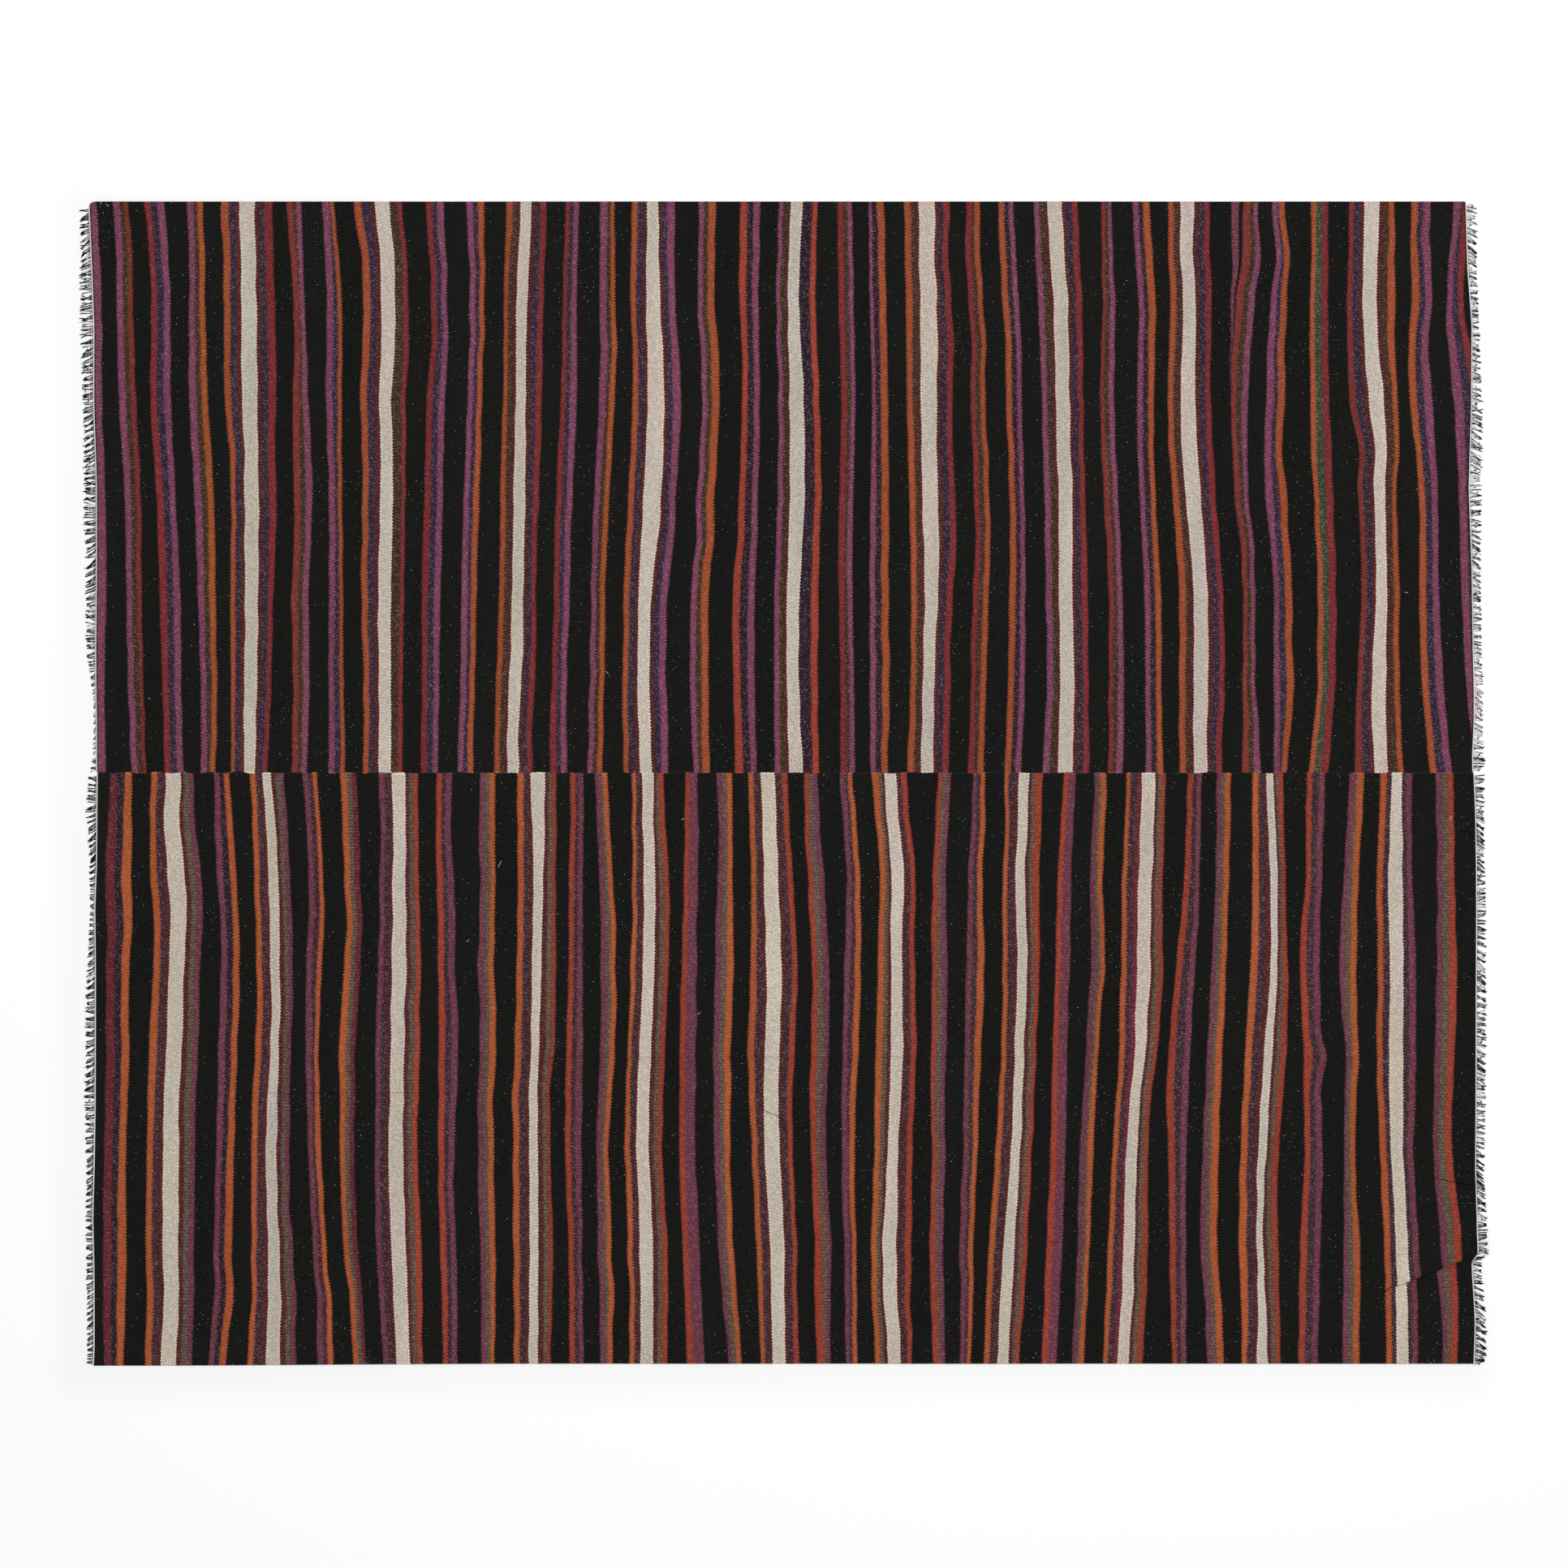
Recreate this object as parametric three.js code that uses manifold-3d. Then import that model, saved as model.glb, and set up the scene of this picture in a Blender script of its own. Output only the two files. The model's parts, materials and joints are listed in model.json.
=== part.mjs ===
// A flatwoven wool kilim of two striped panels, lying flat on a floor.
// Each panel was woven as one long narrow cloth and the two are sewn edge to edge.
// Millimetres, Z up. X runs along the warps, from the left fringe to the right one.
// Y runs along the wefts and stripes. The origin is the middle of the rug's underside.
import * as THREE from 'three';
import * as BufferGeometryUtils from 'three/addons/utils/BufferGeometryUtils.js';
import Module from 'manifold-3d';

// The cloth
const THICKNESS = 2.5;
const SEAM_Y = 20;
const PIECE_GAP = 0.3;
const FLAT_Z = THICKNESS / 2;

// The end finish: a band of twining outside each cut end, and the warp ends that leave it
const BAND_WIDTH = 3;
const STRANDS_PER_BAND = 58;
const SHORTEST_STRAND = 6;
const ROOT_DEPTH = 2;
const ROOT_LIFT = 0.4;

// Where the cloth ends, and how long its fringe is, at stations down each panel
const UPPER_EDGES = [
  { y: 1075.5, left: -1283, right: 1258.5, leftFringe: 17, rightFringe: 21 },
  { y: 953, left: -1278, right: 1262, leftFringe: 22, rightFringe: 17 },
  { y: 848, left: -1274, right: 1270, leftFringe: 25, rightFringe: 14 },
  { y: 698, left: -1274, right: 1269, leftFringe: 20, rightFringe: 21 },
  { y: 548, left: -1269, right: 1264.5, leftFringe: 24, rightFringe: 23 },
  { y: 398, left: -1269, right: 1270, leftFringe: 21, rightFringe: 17 },
  { y: 248, left: -1270.5, right: 1272, leftFringe: 18, rightFringe: 17 },
  { y: 173, left: -1270, right: 1274, leftFringe: 7, rightFringe: 18 },
  { y: 113, left: -1269, right: 1274, leftFringe: 4, rightFringe: 16 },
  { y: 53, left: -1269, right: 1271, leftFringe: 8, rightFringe: 23 },
  { y: SEAM_Y, left: -1268.5, right: 1271.5, leftFringe: 13, rightFringe: 20 },
];
const LOWER_EDGES = [
  { y: SEAM_Y, left: -1267.5, right: 1273.5, leftFringe: 16, rightFringe: 19 },
  { y: -52, left: -1268.5, right: 1276.5, leftFringe: 20, rightFringe: 17 },
  { y: -142, left: -1269, right: 1278, leftFringe: 14, rightFringe: 16 },
  { y: -232, left: -1272, right: 1278.5, leftFringe: 9, rightFringe: 17 },
  { y: -352, left: -1271, right: 1278, leftFringe: 17, rightFringe: 19 },
  { y: -592, left: -1271.5, right: 1277.5, leftFringe: 20, rightFringe: 18 },
  { y: -712, left: -1273.5, right: 1276.5, leftFringe: 15, rightFringe: 16 },
  { y: -802, left: -1276, right: 1279.5, leftFringe: 13, rightFringe: 19 },
  { y: -866, left: -1274.5, right: 1283, leftFringe: 14, rightFringe: 19 },
  { y: -884, left: -1274, right: 1273.5, leftFringe: 14, rightFringe: 17 },
  { y: -952, left: -1273.5, right: 1275.5, leftFringe: 14, rightFringe: 21 },
  { y: -1042, left: -1273.5, right: 1274.5, leftFringe: 13, rightFringe: 22 },
  { y: -1075.5, left: -1275, right: 1273.5, leftFringe: 12, rightFringe: 21 },
];

// Soft ridges left by storing the rug folded: each runs from one x to another at its own y
const RIDGES = [
  { y: -505, slope: 0, from: -620, to: 1090, fade: 60, height: 1.8, halfWidth: 12 },
  { y: -571, slope: 0, from: -1010, to: -590, fade: 60, height: 1.5, halfWidth: 12 },
  { y: -738, slope: -0.2, from: 1215, to: 1290, fade: 14, height: 2.5, halfWidth: 8 },
];
const RIDGE_STEPS = [
  { along: -1, rise: 0 },
  { along: -0.45, rise: 0.6 },
  { along: 0, rise: 1 },
  { along: 0.45, rise: 0.6 },
  { along: 1, rise: 0 },
];

// The tuck: the cloth doubles over itself in a wedge that opens towards the right end
const TUCK = {
  start: { x: 1121, y: -936 },
  end: { x: 1283, y: -868 },
  deepest: 12.5,
  shiftAtEnd: 9.5,
  turnRadius: 1.4,
  turnSteps: 4,
  rollOver: 25,
  shortestFlap: 0.8,
  shortestStep: 0.4,
  rampLength: 28,
  rampSteps: 4,
};
const RAMP_ROOM = TUCK.deepest + TUCK.rampLength + 3;

// Columns across each panel, closer together where the tuck begins and ends
const UPPER_COLUMNS = [-1275, -850, -425, 0, 425, 850, 1275];
const LOWER_COLUMNS = [
  -1275, -1010, -950, -650, -590, -300, 0, 300, 600, 900, 1030, 1090,
  1121, 1126, 1131, 1136, 1141, 1146, 1170, 1200, 1215, 1229, 1256, 1275,
];

const COLOURS = {
  darkWeave: 0x2b2220,
  palerWeave: 0x312825,
  fringe: 0xc9c4bc,
};

const wasm = await Module();
wasm.setup();

const mix = (a, b, t) => a + (b - a) * t;
const clamp01 = (t) => Math.min(1, Math.max(0, t));
const smooth = (t) => clamp01(t) ** 2 * (3 - 2 * clamp01(t));

// A repeatable scatter between -1 and 1
const scatter = (n, salt) => {
  const s = Math.sin(n * 12.9898 + salt * 78.233) * 43758.5453;
  return 2 * (s - Math.floor(s)) - 1;
};

// One column of an edge table at any y
function edgeAt(table, y, column) {
  let i = 1;
  while (i < table.length - 1 && y < table[i].y) i += 1;
  const t = clamp01((table[i - 1].y - y) / (table[i - 1].y - table[i].y));
  return mix(table[i - 1][column], table[i][column], t);
}

// A row crosses the cloth and gives its place at any x. The tuck's rows lie beside the lip's line.
const flatRow = (y) => ({ place: () => ({ y, z: FLAT_Z }) });

const ridgeRows = (ridge) => RIDGE_STEPS.map(({ along, rise }) => ({
  place: (x) => {
    const inside = smooth((x - ridge.from) / ridge.fade) * smooth((ridge.to - x) / ridge.fade);
    const bend = ridge.slope * Math.max(0, x - ridge.from);
    return {
      y: ridge.y + bend - along * ridge.halfWidth,
      z: FLAT_Z + rise * ridge.height * inside,
    };
  },
}));

// How far along the tuck x is, from 0 at its point to 1 at the rug's edge
const alongTuck = (x) => Math.max(0, (x - TUCK.start.x) / (TUCK.end.x - TUCK.start.x));
const lipY = (x) => mix(TUCK.start.y, TUCK.end.y, alongTuck(x));

// The tuck's section at one x, as a path down the cloth: up a ramp, round the lip,
// back under it and forward again, flatter and shallower towards the wedge's point.
// The hidden flap carries the cloth sideways, as a slanting fold does.
function tuckPath(x) {
  const t = alongTuck(x);
  const turn = Math.PI * smooth((x - TUCK.start.x) / TUCK.rollOver);
  const turnTo = turn / TUCK.turnSteps;
  const length = Math.max(TUCK.turnRadius * turnTo, TUCK.shortestStep);
  const depth = TUCK.deepest * t;
  const bends = Array.from({ length: TUCK.turnSteps }, (_, i) => ({ heading: (i + 0.5) * turnTo, length }));
  const flap = { heading: turn, length: Math.max(depth, TUCK.shortestFlap) };
  const moves = [...bends, flap, ...bends.toReversed()];

  const drop = moves.reduce((sum, m) => sum + m.length * Math.sin(m.heading), 0);
  const path = [];
  for (let i = TUCK.rampSteps; i > 0; i -= 1) {
    const out = i / TUCK.rampSteps;
    path.push({ beside: depth + out * TUCK.rampLength, z: FLAT_Z + drop * (1 - smooth(out)), moved: 0 });
  }
  path.push({ beside: depth + 1, z: FLAT_Z + drop, moved: 0 });
  let at = { beside: 0, z: FLAT_Z + drop, moved: 0 };
  path.push(at);
  moves.forEach((m, i) => {
    at = {
      beside: at.beside - m.length * Math.cos(m.heading),
      z: at.z - m.length * Math.sin(m.heading),
      moved: i < TUCK.turnSteps ? 0 : t * TUCK.shiftAtEnd,
    };
    path.push(at);
  });
  return path;
}
const tuckRows = () => tuckPath(TUCK.end.x).map((_, i) => ({ tuck: (x) => tuckPath(x)[i] }));

// Where column x of the cloth is in one row, its edges following the table, or a place outside it
function placed(row, x, columns, table, outside = 0) {
  const across = (x - columns[0]) / (columns.at(-1) - columns[0]);
  const spread = (y) => mix(edgeAt(table, y, 'left'), edgeAt(table, y, 'right'), across);
  if (!row.tuck) {
    const at = row.place(x);
    return { x: spread(at.y) + outside, ...at };
  }
  const at = row.tuck(x);
  const placedX = spread(Math.max(lipY(x) + at.beside, TUCK.end.y)) - at.moved + outside;
  return { x: placedX, y: lipY(placedX) + at.beside, z: at.z };
}

// A closed sheet through a net of middle points, half its thickness to either side
function sheet(net) {
  const rows = net.length;
  const columns = net[0].length;
  const points = [];
  for (const side of [1, -1]) {
    net.forEach((line, r) => line.forEach((p, c) => {
      const before = net[Math.max(0, r - 1)][c];
      const after = net[Math.min(rows - 1, r + 1)][c];
      const along = Math.hypot(after.y - before.y, after.z - before.z);
      const ny = (after.z - before.z) / along;
      const nz = -(after.y - before.y) / along;
      points.push(p.x, p.y + (side * ny * THICKNESS) / 2, p.z + (side * nz * THICKNESS) / 2);
    }));
  }
  const top = (r, c) => r * columns + c;
  const under = (r, c) => rows * columns + top(r, c);
  const faces = [];
  const quad = (a, b, c, d) => faces.push(a, b, c, a, c, d);
  for (let r = 0; r + 1 < rows; r += 1) {
    for (let c = 0; c + 1 < columns; c += 1) {
      quad(top(r, c), top(r + 1, c), top(r + 1, c + 1), top(r, c + 1));
      quad(under(r, c), under(r, c + 1), under(r + 1, c + 1), under(r + 1, c));
    }
    quad(top(r, 0), under(r, 0), under(r + 1, 0), top(r + 1, 0));
    const last = columns - 1;
    quad(top(r, last), top(r + 1, last), under(r + 1, last), under(r, last));
  }
  for (let c = 0; c + 1 < columns; c += 1) {
    const last = rows - 1;
    quad(top(0, c), top(0, c + 1), under(0, c + 1), under(0, c));
    quad(top(last, c), under(last, c), under(last, c + 1), top(last, c + 1));
  }
  return fromArrays(points, faces);
}

function fromArrays(points, faces) {
  const geometry = new THREE.BufferGeometry();
  geometry.setAttribute('position', new THREE.Float32BufferAttribute(points, 3));
  geometry.setIndex(faces);
  return geometry;
}

// Rows of each panel, from its top edge down
const stationRows = (table) => table.map(({ y }) => flatRow(y));
const upperRows = stationRows(UPPER_EDGES.slice(0, -1));
upperRows.push(flatRow(SEAM_Y + PIECE_GAP / 2));
const [mainRidge, leftRidge, endRidge] = RIDGES;
const besideRidges = (y) => RIDGES.every((r) => Math.abs(y - r.y) > 2 * r.halfWidth);
const aboveTuck = (y) => y > TUCK.end.y + RAMP_ROOM && besideRidges(y);
const belowTuck = (y) => y < TUCK.start.y - 2 * THICKNESS;
const lowerRows = [
  flatRow(SEAM_Y - PIECE_GAP / 2),
  ...LOWER_EDGES.slice(1).filter(({ y }) => y > mainRidge.y && aboveTuck(y)).map(({ y }) => flatRow(y)),
  ...ridgeRows(mainRidge),
  ...ridgeRows(leftRidge),
  ...LOWER_EDGES.filter(({ y }) => y < leftRidge.y && y > endRidge.y && aboveTuck(y)).map(({ y }) => flatRow(y)),
  ...ridgeRows(endRidge),
  flatRow(-790),
  ...tuckRows(),
  ...LOWER_EDGES.filter(({ y }) => belowTuck(y)).map(({ y }) => flatRow(y)),
];

const panel = (rows, columns, table) => sheet(rows.map((row) => columns.map((x) => placed(row, x, columns, table))));

// The band beside one end of a panel, which follows each row of the cloth at its edge
function bandNet(rows, columns, table, side) {
  const edge = side < 0 ? columns[0] : columns.at(-1);
  const offsets = [PIECE_GAP, PIECE_GAP + BAND_WIDTH].map((o) => side * o).sort((a, b) => a - b);
  return rows.map((row) => offsets.map((o) => placed(row, edge, columns, table, o)));
}

function asSolid(geometry) {
  const merged = BufferGeometryUtils.mergeVertices(geometry);
  return new wasm.Manifold(new wasm.Mesh({
    numProp: 3,
    vertProperties: Float32Array.from(merged.attributes.position.array),
    triVerts: Uint32Array.from(merged.index.array),
  }));
}

// One strand: a low four-sided lock with a flat underside, from its root through a bend to its tip
function strand(side, stations) {
  const points = [];
  for (const { x, y, z, width, height } of stations) {
    points.push(x, y - width / 2, z, x, y + width / 2, z);
    points.push(x, y + width * 0.3, z + height, x, y - width * 0.3, z + height);
  }
  const faces = [];
  const quad = (a, b, c, d) => (side > 0 ? faces.push(a, b, c, a, c, d) : faces.push(a, c, b, a, d, c));
  for (let s = 0; s + 1 < stations.length; s += 1) {
    for (let k = 0; k < 4; k += 1) {
      const next = (k + 1) % 4;
      quad(4 * s + k, 4 * s + next, 4 * s + 4 + next, 4 * s + 4 + k);
    }
  }
  const tip = 4 * (stations.length - 1);
  quad(0, 3, 2, 1);
  quad(tip, tip + 1, tip + 2, tip + 3);
  return fromArrays(points, faces);
}

// The band and its strands in one piece. Strands near the tuck leave a raised root and fall to the floor.
function fringe(rows, columns, table, side) {
  const net = bandNet(rows, columns, table, side);
  const outer = net.map((line) => line[side < 0 ? 0 : 1]);
  const topY = outer[0].y;
  const bottomY = outer.at(-1).y;
  const lengthColumn = side < 0 ? 'leftFringe' : 'rightFringe';
  let solid = asSolid(sheet(net));
  for (let k = 0; k < STRANDS_PER_BAND; k += 1) {
    const y = mix(topY, bottomY, (k + 0.5 + 0.22 * scatter(k, side)) / STRANDS_PER_BAND);
    const length = edgeAt(table, y, lengthColumn) * (1 + 0.12 * scatter(k, 2 + side)) - PIECE_GAP;
    const i = outer.findIndex((p, n) => n + 1 < outer.length && p.y >= y && outer[n + 1].y < y);
    const t = (outer[i].y - y) / (outer[i].y - outer[i + 1].y);
    const rootX = mix(outer[i].x, outer[i + 1].x, t);
    const lift = mix(outer[i].z, outer[i + 1].z, t) - FLAT_Z;
    const underLip = side > 0 && table === LOWER_EDGES && y < TUCK.end.y + 6 && y > TUCK.end.y - 18;
    if (length < SHORTEST_STRAND || underLip) continue;
    const reach = length - BAND_WIDTH;
    const lean = 4.5 * scatter(k, 5 + side);
    const bow = 1.5 * scatter(k, 9 + side);
    solid = solid.add(asSolid(strand(side, [
      { x: rootX - side * ROOT_DEPTH, y, z: lift + ROOT_LIFT, width: 3, height: 1.6 },
      { x: rootX + side * 0.5 * reach, y: y + 0.5 * lean + bow, z: 0, width: 3.6, height: 2.1 },
      { x: rootX + side * reach, y: y + lean, z: 0, width: 1.8, height: 1.2 },
    ])));
  }
  const { vertProperties, triVerts } = solid.getMesh();
  return fromArrays(Array.from(vertProperties), Array.from(triVerts));
}

const cloth = (colour) => new THREE.MeshStandardMaterial({ color: colour, roughness: 0.95, metalness: 0 });

const rug = new THREE.Group();
function addPiece(name, geometry, colour) {
  const piece = new THREE.Mesh(geometry, cloth(colour));
  piece.name = name;
  rug.add(piece);
}

addPiece('panel_upper', panel(upperRows, UPPER_COLUMNS, UPPER_EDGES), COLOURS.darkWeave);
addPiece('panel_lower', panel(lowerRows, LOWER_COLUMNS, LOWER_EDGES), COLOURS.palerWeave);
for (const [end, side] of [['left', -1], ['right', 1]]) {
  addPiece(`fringe_upper_${end}`, fringe(upperRows, UPPER_COLUMNS, UPPER_EDGES, side), COLOURS.fringe);
  addPiece(`fringe_lower_${end}`, fringe(lowerRows, LOWER_COLUMNS, LOWER_EDGES, side), COLOURS.fringe);
}

// Centre the whole rug over the origin
const middle = new THREE.Box3().setFromObject(rug).getCenter(new THREE.Vector3());
rug.position.set(-middle.x, -middle.y, 0);

export default rug;
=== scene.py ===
# %% [markdown]
# # A two-panel striped kilim
# The rug is two long flatwoven panels sewn edge to edge, with the cut warp ends left as a short fringe.
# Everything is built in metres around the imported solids, and helpers turn millimetres into metres.

# %% Load the frame
import json
import math

import bmesh
import bpy
import numpy as np
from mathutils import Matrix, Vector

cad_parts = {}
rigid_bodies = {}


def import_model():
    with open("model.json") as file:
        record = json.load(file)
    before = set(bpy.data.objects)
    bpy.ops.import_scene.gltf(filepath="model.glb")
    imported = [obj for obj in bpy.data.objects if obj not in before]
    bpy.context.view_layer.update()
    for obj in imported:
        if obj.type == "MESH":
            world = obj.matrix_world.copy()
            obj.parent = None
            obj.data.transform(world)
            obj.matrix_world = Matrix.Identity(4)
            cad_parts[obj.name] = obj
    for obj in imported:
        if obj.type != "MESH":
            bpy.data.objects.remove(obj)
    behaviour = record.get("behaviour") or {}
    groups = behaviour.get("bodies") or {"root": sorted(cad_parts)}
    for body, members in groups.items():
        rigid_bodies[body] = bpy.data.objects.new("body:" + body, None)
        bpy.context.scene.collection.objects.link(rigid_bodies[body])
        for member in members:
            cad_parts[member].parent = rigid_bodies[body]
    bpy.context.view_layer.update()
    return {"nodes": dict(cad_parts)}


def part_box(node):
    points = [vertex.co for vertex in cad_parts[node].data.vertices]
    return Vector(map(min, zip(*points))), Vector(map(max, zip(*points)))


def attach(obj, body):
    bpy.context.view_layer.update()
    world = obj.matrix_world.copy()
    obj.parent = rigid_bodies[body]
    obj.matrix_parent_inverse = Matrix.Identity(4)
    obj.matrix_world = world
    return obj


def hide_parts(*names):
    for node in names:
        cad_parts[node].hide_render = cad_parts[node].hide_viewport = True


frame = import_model()
MM = 0.001
print("solids:", sorted(frame["nodes"]))

# %% [markdown]
# ## Scale and place
# The rug was measured on a straight-down photograph. One of its pixels is 1.5 mm on the cloth, a scale
# that comes from the toothed stripe edges. The stripes are charted in pixels, and these two functions
# turn a pixel into a place on the rug. The solids are centred as a whole, so their shift is read back.

# %% Photo pixels to millimetres
MM_PER_PIXEL = 1.5
PHOTO_SIDE = 1932
PHOTO_MIDDLE_X = 966
PHOTO_MIDDLE_Y = 965.5
UPPER_LEFT_CORNER_X = -1283
SHIFT_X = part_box("panel_upper")[0].x / MM - UPPER_LEFT_CORNER_X


def across_mm(pixel):
    return (pixel - PHOTO_MIDDLE_X) * MM_PER_PIXEL + SHIFT_X


def photo_height(y_mm):
    return PHOTO_MIDDLE_Y - y_mm / MM_PER_PIXEL


print(f"shift of the solids: {SHIFT_X:.2f} mm")

# %% [markdown]
# ## The dyed yarns
# The wool is dyed in small pots, so a colour is never quite the same twice. These are the yarns as they
# look in flat daylight, as sRGB codes, turned to the linear values that shaders use. The lower panel's
# yarns come from other dye lots: its purple is a dusty plum, its orange is brighter and its olive greyed.

# %% Yarn colours
def linear(code):
    channels = [int(code[i:i + 2], 16) / 255 for i in (1, 3, 5)]
    return [c / 12.92 if c <= 0.04045 else ((c + 0.055) / 1.055) ** 2.4 for c in channels]


YARNS = {
    "black": "#181817",
    "cream": "#c6bbad",
    "purple": "#7d425b",
    "plum": "#6f3b49",
    "indigo": "#352839",
    "red": "#7e2f30",
    "brick": "#7b342f",
    "scarlet": "#9a4030",
    "rust": "#8c3e2d",
    "russet": "#743829",
    "orange": "#ac5732",
    "copper": "#9e4e2f",
    "gold": "#9e502c",
    "olive": "#433021",
    "maroon": "#552726",
    "garnet": "#672a34",
    "dusk": "#452630",
    "navy": "#2f1f29",
    "damson": "#412b31",
    "sage": "#5f5142",
    "moss": "#3d4834",
}

# For some yarns: how heathered it is, how far two shades take turns rib by rib, and how pale its rims are
MAKES = {
    "cream": (0.2, 0.0, 1.0),
    "purple": (0.6, 0.04, 0.0),
    "plum": (0.5, 0.08, 0.0),
    "indigo": (0.7, 0.1, 0.0),
    "dusk": (0.6, 0.12, 0.0),
    "navy": (0.6, 0.12, 0.0),
    "damson": (0.7, 0.1, 0.0),
    "olive": (0.6, 0.2, 0.0),
    "maroon": (0.4, 0.12, 0.0),
    "garnet": (0.4, 0.12, 0.0),
    "sage": (0.7, 0.28, 0.0),
    "moss": (0.8, 0.2, 0.0),
    "black": (0.03, 0.02, 0.0),
}
PLAIN_MAKE = (0.3, 0.04, 0.0)
print(len(YARNS), "yarns")
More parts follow.
